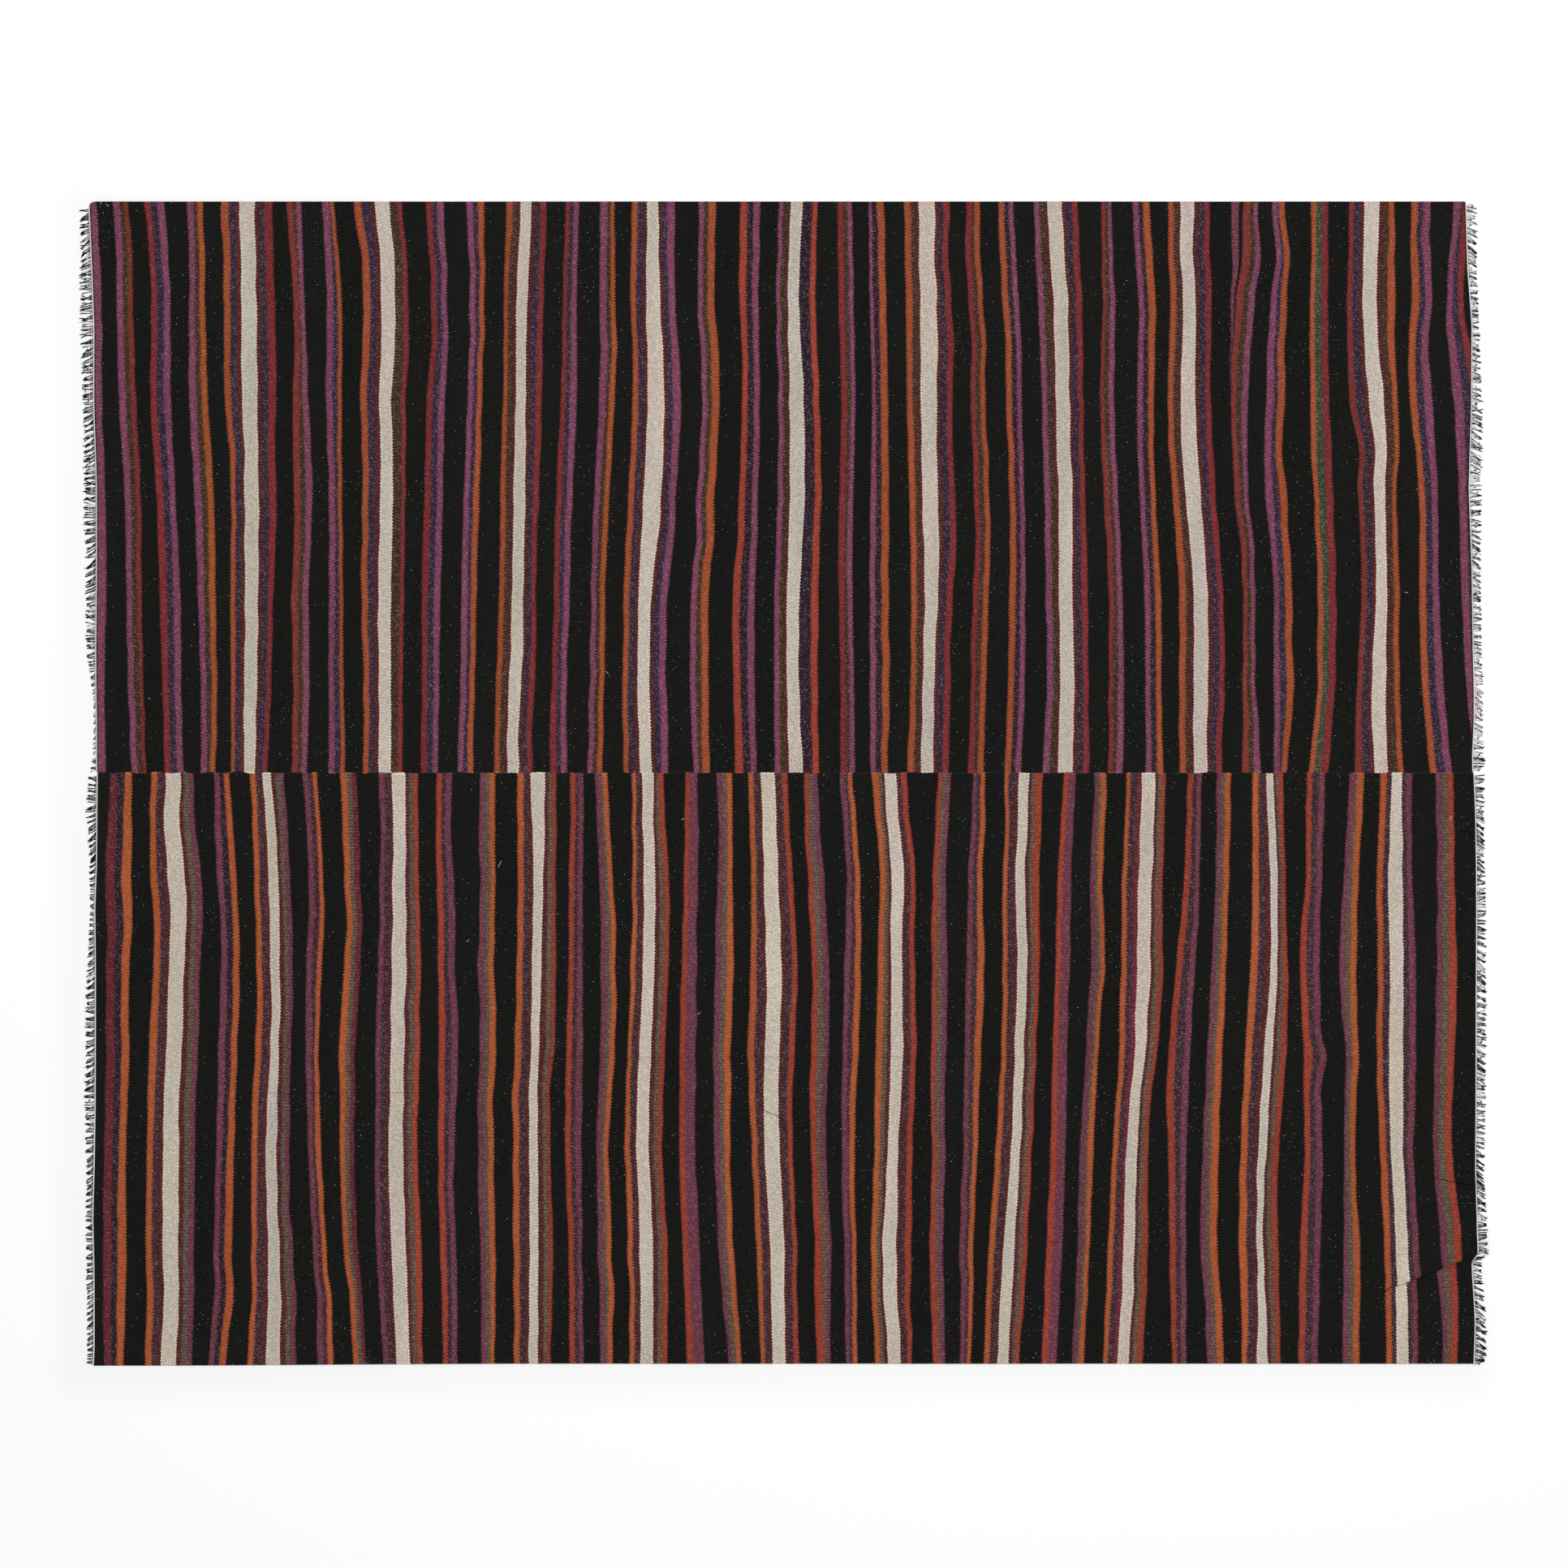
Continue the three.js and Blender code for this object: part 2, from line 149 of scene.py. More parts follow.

# %% [markdown]
# ## The stripe charts
# No two stripes of a hand-woven kilim are alike, and each wanders as the weft was beaten in more or less.
# So the stripes are charted: one row a stripe, from the left end to the right, with its yarn and
# its right edge at seven heights down the panel. Between the heights the edges run on smooth curves.
# Where the stripes lean off those curves, a third table pushes them: at each height, a place along the
# rug, a push to the right and how far to either side it is felt, all in pixels.

# %% Chart of the upper panel
UPPER_CHART = """
yarn    262    370    490    610    730    850    940
purple  119.6  125.7  126.0  130.4  130.9  129.2  130.4
black   139.9  144.3  146.3  153.8  155.9  158.5  162.0
purple  148.3  152.1  155.0  161.7  163.1  166.0  169.8
olive   153.3  157.0  160.8  167.8  168.9  172.7  175.9
russet  157.9  161.9  163.4  167.8  168.9  172.7  175.9
red     159.3  163.7  167.8  173.6  175.3  177.0  180.2
black   179.6  186.0  185.7  193.0  197.0  200.2  202.8
red     186.9  193.6  193.3  202.0  205.7  208.0  210.4
indigo  194.4  202.2  202.0  209.5  213.3  215.6  217.9
purple  203.4  210.4  210.7  216.7  222.0  224.0  226.0
black   230.7  233.3  233.0  239.6  244.0  247.8  247.8
purple  239.0  240.2  242.0  248.3  252.4  254.4  255.3
olive   243.1  245.4  248.3  255.3  258.2  260.8  259.1
gold    250.4  252.4  256.2  263.4  266.3  267.5  266.0
black   272.4  275.6  277.0  284.9  284.0  284.6  284.9
copper  282.0  284.3  285.1  290.9  290.1  290.1  289.5
indigo  289.2  291.2  292.4  297.3  296.4  295.0  295.5
maroon  295.1  297.9  298.6  301.6  302.0  301.1  301.6
cream   314.1  316.2  317.3  318.8  318.2  316.7  315.0
dusk    326.0  328.3  330.7  331.5  330.4  327.8  324.0
red     336.2  338.8  340.2  341.1  337.3  334.4  330.1
black   353.8  361.4  361.1  362.5  359.4  361.1  359.3
brick   360.8  368.6  369.2  370.1  367.5  367.5  366.9
olive   364.9  369.5  373.0  376.4  372.7  372.7  371.2
purple  371.8  375.0  380.5  384.6  380.5  380.8  378.5
black   397.9  402.8  401.7  405.4  405.4  405.1  404.9
purple  406.6  411.5  409.5  413.3  413.0  412.1  412.4
indigo  407.5  415.9  415.6  416.7  417.9  418.8  419.1
copper  412.4  421.4  420.8  422.0  422.8  424.0  424.9
black   437.0  447.2  444.3  446.6  445.4  448.0  447.8
copper  446.3  456.2  453.0  454.1  453.3  455.0  454.7
indigo  457.3  463.7  460.8  461.7  460.2  460.8  461.0
maroon  463.3  469.6  467.9  468.4  466.5  466.8  467.2
cream   480.5  486.9  482.2  484.0  481.7  481.7  482.0
olive   490.4  497.0  494.1  495.0  492.7  491.2  490.1
red     495.6  503.1  499.9  499.9  497.9  496.7  496.2
black   524.6  530.7  526.0  523.1  519.9  519.9  518.2
red     532.7  538.3  533.6  530.7  527.8  526.9  526.0
indigo  538.0  544.0  541.0  538.0  535.0  534.1  532.7
purple  546.9  551.0  548.9  545.5  543.1  540.8  539.4
black   574.7  578.8  575.9  571.6  568.4  567.2  564.0
purple  582.6  586.0  582.6  578.5  576.5  575.0  570.7
indigo  588.4  590.7  587.2  583.1  580.2  578.5  575.9
copper  596.5  597.1  593.9  591.0  587.5  585.2  583.1
black   624.0  621.1  620.0  616.8  615.0  611.0  608.9
copper  631.8  626.3  625.5  623.4  621.4  617.6  615.6
umber   641.7  636.8  635.9  633.0  630.7  627.2  625.2
cream   655.0  649.8  647.8  646.9  644.6  642.0  639.4
dusk    666.0  662.6  660.0  656.2  654.7  651.8  650.1
red     673.9  669.5  667.8  663.7  660.8  659.1  657.1
black   696.2  693.6  691.0  685.5  682.9  679.7  678.2
red     702.0  699.1  697.1  693.0  689.5  686.6  686.0
indigo  706.6  704.0  702.0  698.5  694.2  691.3  691.0
purple  713.3  711.0  710.7  706.0  702.0  698.2  698.5
black   740.0  738.5  738.2  731.8  728.4  726.3  724.6
purple  749.0  746.9  746.9  739.1  735.0  733.0  731.8
olive   752.4  751.8  750.4  744.0  739.4  737.6  736.5
gold    757.3  757.9  757.3  750.7  746.0  744.0  743.1
black   777.9  777.1  779.1  774.7  768.4  766.9  768.1
copper  785.5  784.0  786.6  782.0  775.6  773.6  774.4
dusk    797.6  796.5  798.2  793.3  786.6  785.8  788.4
cream   811.6  813.3  818.5  814.4  802.6  800.2  802.6
dusk    822.0  823.4  829.2  824.3  814.2  811.8  814.2
purple  831.8  831.8  839.1  832.7  823.1  820.5  822.9
black   860.8  859.7  864.9  858.8  851.6  850.4  853.9
purple  867.2  866.0  871.6  865.5  858.5  857.6  860.5
olive   872.4  871.6  876.8  871.0  863.4  864.3  864.9
copper  882.0  880.5  886.6  880.5  873.0  873.0  874.2
black   912.1  911.0  914.2  910.4  902.9  904.0  905.5
scarlet 921.1  919.4  921.1  918.5  912.1  912.7  915.6
navy    928.1  926.3  928.9  926.3  921.7  921.4  924.3
purple  936.5  934.2  936.2  933.9  930.1  930.1  932.1
black   959.4  956.5  959.4  957.9  954.2  953.6  954.7
purple  964.6  961.7  964.9  964.6  960.5  960.5  961.7
umber   973.9  971.3  972.9  973.3  969.5  969.8  972.0
cream   988.1  984.6  989.8  991.3  984.9  984.9  988.4
navy    1000.6 997.4  1001.7 1003.5 999.4  999.4  1000.6
scarlet 1006.9 1004.6 1009.6 1011.6 1009.0 1007.5 1008.7
black   1031.9 1033.0 1036.8 1034.2 1033.6 1035.1 1035.3
red     1038.5 1040.6 1043.8 1042.3 1040.6 1041.4 1043.5
olive   1044.0 1046.4 1048.4 1045.5 1043.5 1046.9 1046.4
purple  1049.6 1052.2 1053.6 1051.6 1050.1 1052.4 1053.0
black   1070.4 1071.9 1074.2 1072.7 1071.3 1072.4 1072.4
purple  1074.5 1076.2 1079.1 1079.7 1078.2 1079.7 1079.4
navy    1080.9 1082.9 1084.9 1085.8 1085.8 1086.9 1085.8
copper  1090.1 1091.3 1094.2 1095.1 1095.3 1095.9 1093.9
black   1114.2 1115.9 1117.4 1120.3 1122.3 1121.4 1118.0
copper  1122.3 1124.3 1124.9 1128.1 1129.3 1128.4 1126.7
umber   1132.2 1134.2 1134.5 1136.5 1139.1 1137.1 1135.1
cream   1151.9 1154.2 1153.9 1155.3 1155.6 1151.3 1150.1
dusk    1162.3 1164.3 1165.8 1169.3 1166.4 1163.2 1160.9
red     1170.1 1172.2 1173.6 1176.8 1174.8 1171.0 1169.0
black   1190.4 1193.3 1195.6 1200.0 1198.8 1195.9 1192.7
red     1197.4 1199.7 1202.0 1206.4 1205.5 1201.7 1200.3
olive   1200.3 1204.9 1207.5 1212.2 1211.0 1207.2 1204.6
copper  1207.2 1211.3 1213.9 1218.5 1218.0 1214.5 1212.2
black   1230.1 1235.0 1239.1 1243.5 1243.5 1241.7 1238.5
copper  1237.4 1242.9 1246.4 1251.0 1251.6 1249.6 1246.1
navy    1242.9 1248.4 1252.4 1256.2 1256.8 1255.9 1251.0
purple  1248.7 1255.0 1258.5 1262.3 1263.2 1262.6 1258.0
black   1273.9 1278.8 1283.8 1286.7 1288.4 1289.3 1284.6
purple  1280.6 1286.4 1290.4 1294.2 1296.2 1297.1 1293.0
umber   1291.0 1297.7 1301.4 1304.0 1304.9 1305.8 1304.0
cream   1309.0 1315.3 1317.7 1320.9 1321.1 1323.5 1321.7
dusk    1321.1 1325.2 1328.1 1330.4 1332.2 1334.8 1333.9
red     1328.1 1333.3 1334.2 1337.4 1340.0 1341.4 1341.7
black   1356.8 1358.5 1355.3 1360.0 1365.8 1365.8 1365.5
brick   1362.0 1362.6 1360.3 1367.2 1372.2 1371.0 1371.9
olive   1365.5 1367.5 1365.8 1371.0 1376.2 1376.8 1375.6
purple  1369.8 1373.6 1373.0 1377.1 1382.9 1384.3 1384.0
black   1396.2 1402.9 1400.9 1404.0 1409.8 1411.3 1411.9
purple  1402.9 1410.1 1408.1 1410.7 1417.0 1417.7 1419.2
navy    1408.1 1414.6 1414.2 1417.4 1422.6 1424.4 1425.2
copper  1416.6 1423.8 1421.5 1423.8 1430.2 1431.0 1432.8
black   1438.9 1441.8 1438.9 1444.7 1452.5 1452.5 1453.0
copper  1445.8 1449.3 1445.8 1452.5 1461.2 1460.6 1460.9
umber   1454.2 1457.7 1455.1 1460.6 1470.4 1470.7 1471.0
cream   1470.7 1473.1 1472.5 1478.9 1487.3 1488.4 1487.3
dusk    1483.8 1485.5 1484.9 1489.6 1500.3 1501.8 1497.8
red     1490.4 1492.8 1491.3 1497.7 1506.7 1508.7 1505.3
black   1516.5 1516.2 1516.2 1521.2 1531.0 1530.7 1529.9
plum    1525.8 1520.9 1516.2 1521.2 1531.0 1530.7 1529.9
black   1530.7 1522.9 1516.2 1521.2 1531.0 1530.7 1529.9
brick   1540.3 1531.9 1522.9 1529.0 1536.5 1536.5 1538.0
olive   1544.4 1538.0 1529.6 1532.5 1540.3 1541.2 1543.8
purple  1549.6 1546.1 1537.7 1538.3 1545.8 1547.0 1552.2
black   1567.8 1565.5 1560.0 1558.9 1569.3 1569.3 1569.0
purple  1574.2 1572.8 1569.6 1568.1 1576.2 1577.1 1576.8
indigo  1576.0 1577.1 1573.9 1575.7 1583.5 1584.9 1579.4
copper  1583.5 1584.9 1583.5 1584.9 1592.5 1593.9 1586.4
black   1614.8 1614.2 1614.5 1619.1 1622.9 1622.9 1612.8
copper  1620.9 1620.0 1620.9 1625.2 1629.9 1629.3 1619.7
moss    1628.0 1627.8 1629.3 1633.1 1636.5 1636.0 1626.7
red     1636.0 1636.2 1637.4 1642.0 1646.1 1644.4 1637.4
black   1662.3 1658.9 1662.3 1672.8 1677.4 1671.3 1669.3
brick   1668.7 1665.8 1670.4 1680.0 1684.4 1678.6 1679.1
dusk    1680.6 1678.6 1685.8 1693.3 1695.1 1690.2 1693.3
cream   1698.6 1696.0 1704.4 1706.7 1708.4 1707.6 1709.6
umber   1710.7 1709.3 1715.1 1715.1 1716.8 1718.0 1722.0
copper  1718.0 1719.1 1721.8 1720.3 1724.1 1724.9 1728.7
black   1739.1 1738.6 1736.5 1747.6 1748.7 1752.2 1760.3
copper  1747.3 1748.4 1745.5 1755.7 1757.4 1760.6 1768.7
indigo  1753.0 1754.8 1753.9 1763.5 1764.9 1769.3 1778.6
purple  1762.6 1763.5 1764.4 1771.6 1772.8 1778.9 1787.6
black   1790.0 1782.0 1790.4 1797.1 1800.3 1806.7 1817.0
purple  1799.0 1789.3 1802.3 1806.7 1809.3 1817.0 1826.0
indigo  1801.0 1795.7 1812.0 1814.0 1818.0 1826.0 1834.0
red     1812.0 1803.2 1822.0 1824.0 1828.0 1836.0 1844.0
"""

# %% Chart of the lower panel
LOWER_CHART = """
yarn    966    1076   1196   1290   1420   1530   1670
black   135.6  130.1  131.2  130.7  128.6  126.6  128.3
garnet  144.9  142.2  140.8  141.7  138.5  137.3  137.3
navy    153.3  150.1  149.5  150.1  146.0  144.3  143.7
orange  162.5  162.2  159.3  159.9  155.3  155.9  152.4
black   186.3  185.1  189.5  184.0  181.7  179.6  179.1
orange  194.1  193.8  197.6  193.8  189.2  187.2  187.5
dusk    204.3  207.5  208.3  205.4  201.4  200.5  199.1
cream   222.5  228.3  226.3  224.3  220.2  219.9  217.6
maroon  226.3  233.6  232.4  230.7  226.9  225.4  223.1
sage    233.6  241.1  238.8  238.2  233.6  232.4  230.7
plum    239.1  248.0  246.3  244.6  240.5  239.6  237.0
black   264.6  267.2  272.7  269.5  266.6  264.0  257.9
plum    271.2  275.3  280.5  278.5  274.1  270.9  264.9
navy    276.2  283.4  287.5  284.9  279.6  276.7  270.9
orange  283.4  291.2  295.6  292.7  288.3  286.3  279.6
black   309.2  313.3  316.2  314.4  308.9  310.1  305.7
orange  316.2  319.9  323.1  322.0  316.4  316.7  312.7
dusk    324.6  330.7  333.3  333.3  327.5  330.7  328.3
cream   334.7  342.5  344.3  343.7  341.1  344.3  344.9
maroon  339.9  346.6  350.1  348.9  346.6  349.5  351.5
sage    346.6  351.8  355.9  354.4  352.4  355.9  357.3
plum    350.4  357.3  360.8  358.8  357.0  360.8  364.9
black   374.4  380.2  377.6  376.4  380.2  385.1  390.1
plum    381.1  386.9  384.9  384.3  386.6  391.2  397.0
dusk    386.3  392.7  390.4  387.2  389.2  395.6  401.7
orange  391.8  397.9  396.4  392.4  396.2  401.7  408.6
black   419.9  424.3  423.4  418.2  418.8  423.4  434.1
orange  427.5  431.5  431.2  426.9  424.9  429.8  441.1
sage    433.6  437.0  437.6  432.1  430.4  434.7  446.0
garnet  439.3  443.7  444.0  438.2  436.2  440.8  450.7
black   466.9  467.5  466.0  462.5  462.2  463.1  472.4
plum    474.4  473.6  473.0  468.9  468.9  470.4  478.8
dusk    483.1  484.0  482.8  481.4  479.1  482.2  488.6
cream   499.0  499.9  500.2  498.5  496.7  500.2  505.4
hazel   509.2  510.4  512.4  511.2  508.0  511.8  515.9
scarlet 514.7  516.2  518.8  518.2  514.4  519.3  521.7
black   538.3  537.9  540.0  540.5  540.0  542.1  546.3
scarlet 545.2  545.5  547.5  548.4  547.8  549.8  552.4
damson  549.2  550.7  552.1  555.6  552.1  555.0  556.8
plum    557.6  559.1  560.5  564.3  560.0  562.0  564.0
black   591.8  591.8  588.7  591.0  589.8  591.8  593.0
plum    598.8  598.5  596.8  597.3  596.2  597.9  599.1
sage    603.4  604.3  601.7  602.6  601.7  603.1  604.3
orange  610.1  610.4  608.9  611.3  608.7  610.4  609.5
black   637.6  638.2  636.5  634.5  632.1  632.7  633.6
orange  645.5  645.8  644.3  642.6  640.0  640.8  640.8
dusk    654.2  657.3  655.6  654.2  652.4  653.0  651.8
cream   671.3  669.2  666.9  663.7  663.1  663.1  663.1
maroon  675.6  674.4  673.0  671.6  669.2  669.8  669.8
sage    680.0  679.7  679.1  677.9  674.4  675.6  674.4
rust    685.2  684.6  685.2  683.7  678.5  681.4  678.8
black   702.3  701.4  700.5  698.2  696.2  700.5  701.4
scarlet 709.2  708.1  706.9  705.2  703.1  707.2  708.1
damson  711.8  712.1  711.3  710.4  708.1  712.1  712.7
plum    718.8  718.5  717.9  718.5  716.2  717.6  718.8
black   733.6  737.9  740.0  739.1  735.0  736.5  739.7
plum    740.5  744.0  746.9  746.0  741.4  742.3  745.5
sage    742.9  748.1  752.1  750.4  744.3  746.9  748.7
orange  749.2  754.2  758.5  757.3  750.1  753.0  755.0
black   778.2  779.4  776.5  773.6  769.8  773.0  775.3
orange  783.4  784.9  782.9  778.5  776.5  779.7  781.7
dusk    791.0  793.9  791.8  788.1  784.0  788.1  789.2
cream   805.5  807.5  806.0  802.3  799.1  804.3  804.6
maroon  808.7  812.1  811.8  807.8  804.9  810.1  809.8
sage    811.6  817.9  817.9  813.0  810.4  815.6  815.3
scarlet 818.4  824.0  823.7  819.4  816.2  822.3  822.6
black   844.3  842.6  839.7  837.6  837.3  840.8  846.0
scarlet 849.2  848.9  846.6  844.9  844.3  848.1  854.2
plum    858.8  860.2  858.5  857.6  856.5  861.4  867.5
black   883.4  884.6  881.1  878.8  879.7  884.6  897.1
plum    890.1  891.3  888.9  885.5  887.2  890.4  901.7
sage    895.6  896.2  895.3  891.8  892.4  896.2  906.9
orange  902.3  902.6  903.7  900.5  899.4  903.7  913.0
black   922.0  925.2  924.3  921.4  926.6  931.5  936.8
orange  928.7  931.8  932.4  929.8  933.9  938.2  942.6
dusk    937.9  941.1  944.6  942.3  942.6  948.4  952.1
cream   955.0  958.5  963.1  960.0  960.8  965.8  967.8
dusk    963.4  969.8  975.7  971.6  970.7  976.0  978.0
scarlet 970.7  977.0  982.3  979.3  976.7  982.0  984.3
black   991.3  995.3  1000.6 999.4  999.4  1003.8 1005.8
scarlet 996.8  1001.1 1007.5 1006.9 1006.7 1012.7 1015.3
sage    1002.0 1008.1 1014.5 1014.5 1012.2 1019.1 1018.0
plum    1008.1 1014.8 1022.3 1021.1 1018.2 1023.8 1023.2
black   1035.3 1042.9 1040.6 1038.0 1037.7 1039.7 1042.3
plum    1042.3 1048.7 1048.1 1044.0 1045.2 1046.9 1047.2
damson  1045.2 1053.0 1053.0 1049.8 1046.4 1049.3 1050.4
orange  1051.0 1059.7 1060.3 1058.0 1053.0 1055.1 1056.2
black   1074.5 1084.0 1081.1 1079.1 1077.1 1073.9 1077.7
orange  1082.9 1090.7 1089.3 1087.5 1084.0 1081.1 1084.0
hazel   1090.1 1098.0 1098.5 1097.7 1093.9 1089.0 1093.9
cream   1104.6 1113.6 1111.9 1112.5 1106.4 1106.4 1109.6
dusk    1110.4 1121.7 1121.1 1121.7 1116.8 1116.2 1118.0
scarlet 1117.6 1128.1 1127.5 1129.0 1124.0 1123.8 1123.8
black   1155.1 1149.8 1147.8 1147.2 1148.1 1145.5 1149.0
scarlet 1160.0 1155.9 1153.9 1153.0 1153.6 1152.7 1156.5
sage    1165.8 1159.7 1159.7 1160.0 1157.7 1155.9 1158.8
plum    1171.0 1165.2 1167.2 1165.8 1164.6 1162.0 1164.0
black   1198.2 1193.0 1190.4 1189.0 1186.7 1182.3 1182.6
plum    1203.2 1199.4 1197.7 1195.6 1193.0 1189.6 1188.4
damson  1207.8 1203.8 1204.0 1200.6 1197.7 1193.0 1191.3
orange  1213.6 1210.4 1213.0 1209.0 1204.0 1199.4 1196.2
black   1237.7 1235.3 1235.3 1233.3 1226.4 1218.3 1212.4
orange  1242.6 1241.1 1241.1 1239.4 1233.9 1226.1 1219.4
dusk    1254.5 1251.0 1253.3 1250.4 1245.8 1236.8 1229.8
cream   1266.9 1262.6 1265.2 1262.0 1256.8 1250.1 1243.8
maroon  1270.4 1267.2 1269.6 1267.2 1260.9 1254.8 1248.7
sage    1275.3 1272.4 1274.2 1272.4 1265.8 1260.0 1252.7
scarlet 1284.3 1280.6 1280.6 1277.1 1271.0 1266.1 1257.7
black   1310.4 1303.2 1300.6 1296.8 1293.9 1289.3 1283.5
scarlet 1315.9 1309.6 1307.2 1303.2 1302.0 1297.1 1291.0
plum    1325.2 1319.7 1318.2 1314.5 1313.0 1308.7 1302.6
black   1348.1 1343.2 1343.8 1338.5 1330.4 1327.5 1321.4
plum    1353.0 1349.0 1350.7 1345.5 1337.1 1333.9 1326.4
sage    1356.2 1351.9 1355.1 1348.7 1339.7 1337.1 1329.3
orange  1362.9 1358.8 1361.1 1354.2 1346.9 1342.9 1335.6
black   1388.1 1382.6 1381.7 1379.1 1370.4 1365.2 1358.8
orange  1393.0 1388.4 1388.4 1386.1 1376.8 1372.2 1364.6
damson  1401.1 1395.6 1394.8 1391.3 1382.6 1378.0 1371.0
garnet  1406.9 1402.9 1401.1 1398.2 1387.8 1384.1 1377.4
cream   1422.6 1419.4 1417.0 1411.3 1401.1 1397.7 1391.0
hazel   1430.2 1427.8 1426.4 1420.6 1409.3 1406.4 1400.0
rust    1435.4 1432.8 1432.8 1426.4 1414.8 1414.5 1408.1
black   1463.2 1459.1 1448.4 1440.3 1439.1 1440.6 1443.5
scarlet 1470.2 1466.4 1456.5 1449.0 1447.6 1448.4 1449.6
damson  1474.8 1472.2 1464.7 1458.9 1453.6 1454.2 1454.8
plum    1480.3 1478.0 1471.9 1466.7 1461.5 1460.9 1461.5
black   1498.9 1497.4 1491.9 1487.3 1481.5 1478.9 1486.7
plum    1505.2 1502.3 1498.0 1493.1 1487.3 1485.8 1493.1
sage    1509.3 1506.7 1502.9 1497.7 1492.2 1490.7 1498.3
orange  1516.2 1513.9 1510.4 1506.1 1501.8 1499.7 1506.1
black   1542.6 1543.2 1540.0 1534.5 1528.1 1525.8 1529.3
orange  1550.4 1551.6 1549.3 1543.2 1536.5 1536.0 1536.5
dusk    1560.3 1564.9 1564.9 1558.0 1549.6 1548.7 1549.0
cream   1569.0 1573.6 1573.3 1567.6 1559.7 1556.3 1561.5
hazel   1574.8 1578.9 1580.9 1577.7 1567.8 1567.3 1571.3
scarlet 1581.2 1583.5 1587.0 1584.7 1576.0 1575.1 1577.7
black   1609.6 1609.0 1601.5 1603.6 1607.3 1601.5 1600.0
scarlet 1616.5 1615.7 1609.6 1611.7 1614.2 1610.2 1608.1
damson  1624.4 1622.0 1617.1 1617.5 1620.6 1618.9 1615.4
plum    1632.2 1629.3 1625.5 1625.9 1629.0 1627.0 1623.2
black   1662.3 1655.4 1650.2 1657.4 1656.0 1655.4 1653.9
plum    1670.7 1662.3 1657.1 1661.8 1658.9 1661.2 1661.2
sage    1671.5 1665.8 1663.5 1665.5 1663.5 1667.0 1666.4
orange  1680.3 1673.3 1671.6 1673.6 1670.2 1675.1 1674.5
black   1699.7 1696.0 1697.4 1696.0 1700.0 1705.2 1707.6
orange  1707.8 1704.1 1704.7 1703.2 1708.1 1712.8 1714.8
damson  1713.9 1710.7 1712.5 1711.3 1713.3 1719.5 1720.9
cream   1726.7 1727.8 1728.7 1728.1 1728.4 1734.2 1735.4
damson  1732.2 1732.8 1735.7 1736.5 1733.6 1740.0 1740.6
plum    1739.7 1739.4 1744.4 1744.1 1741.5 1747.6 1747.0
black   1768.4 1770.4 1769.9 1767.8 1765.8 1774.2 1777.1
plum    1775.7 1777.1 1777.1 1775.4 1771.9 1782.3 1781.8
sage    1782.9 1784.9 1785.5 1783.5 1780.3 1790.5 1786.4
scarlet 1790.4 1791.9 1795.1 1792.2 1789.0 1799.8 1795.7
"""

# %% [markdown]
# ## Reading a chart
# A chart becomes a list of yarns and an array of edges. A smooth curve with the slope of its neighbours
# at each height, known as a Hermite curve, runs down every edge. A last black stripe closes each panel.
# Beside the cream, three of the charted colours are really two narrow stripes: maroon next to the cream,
# and indigo or damson, olive or sage on its other side. Umber and hazel only name such pairs.

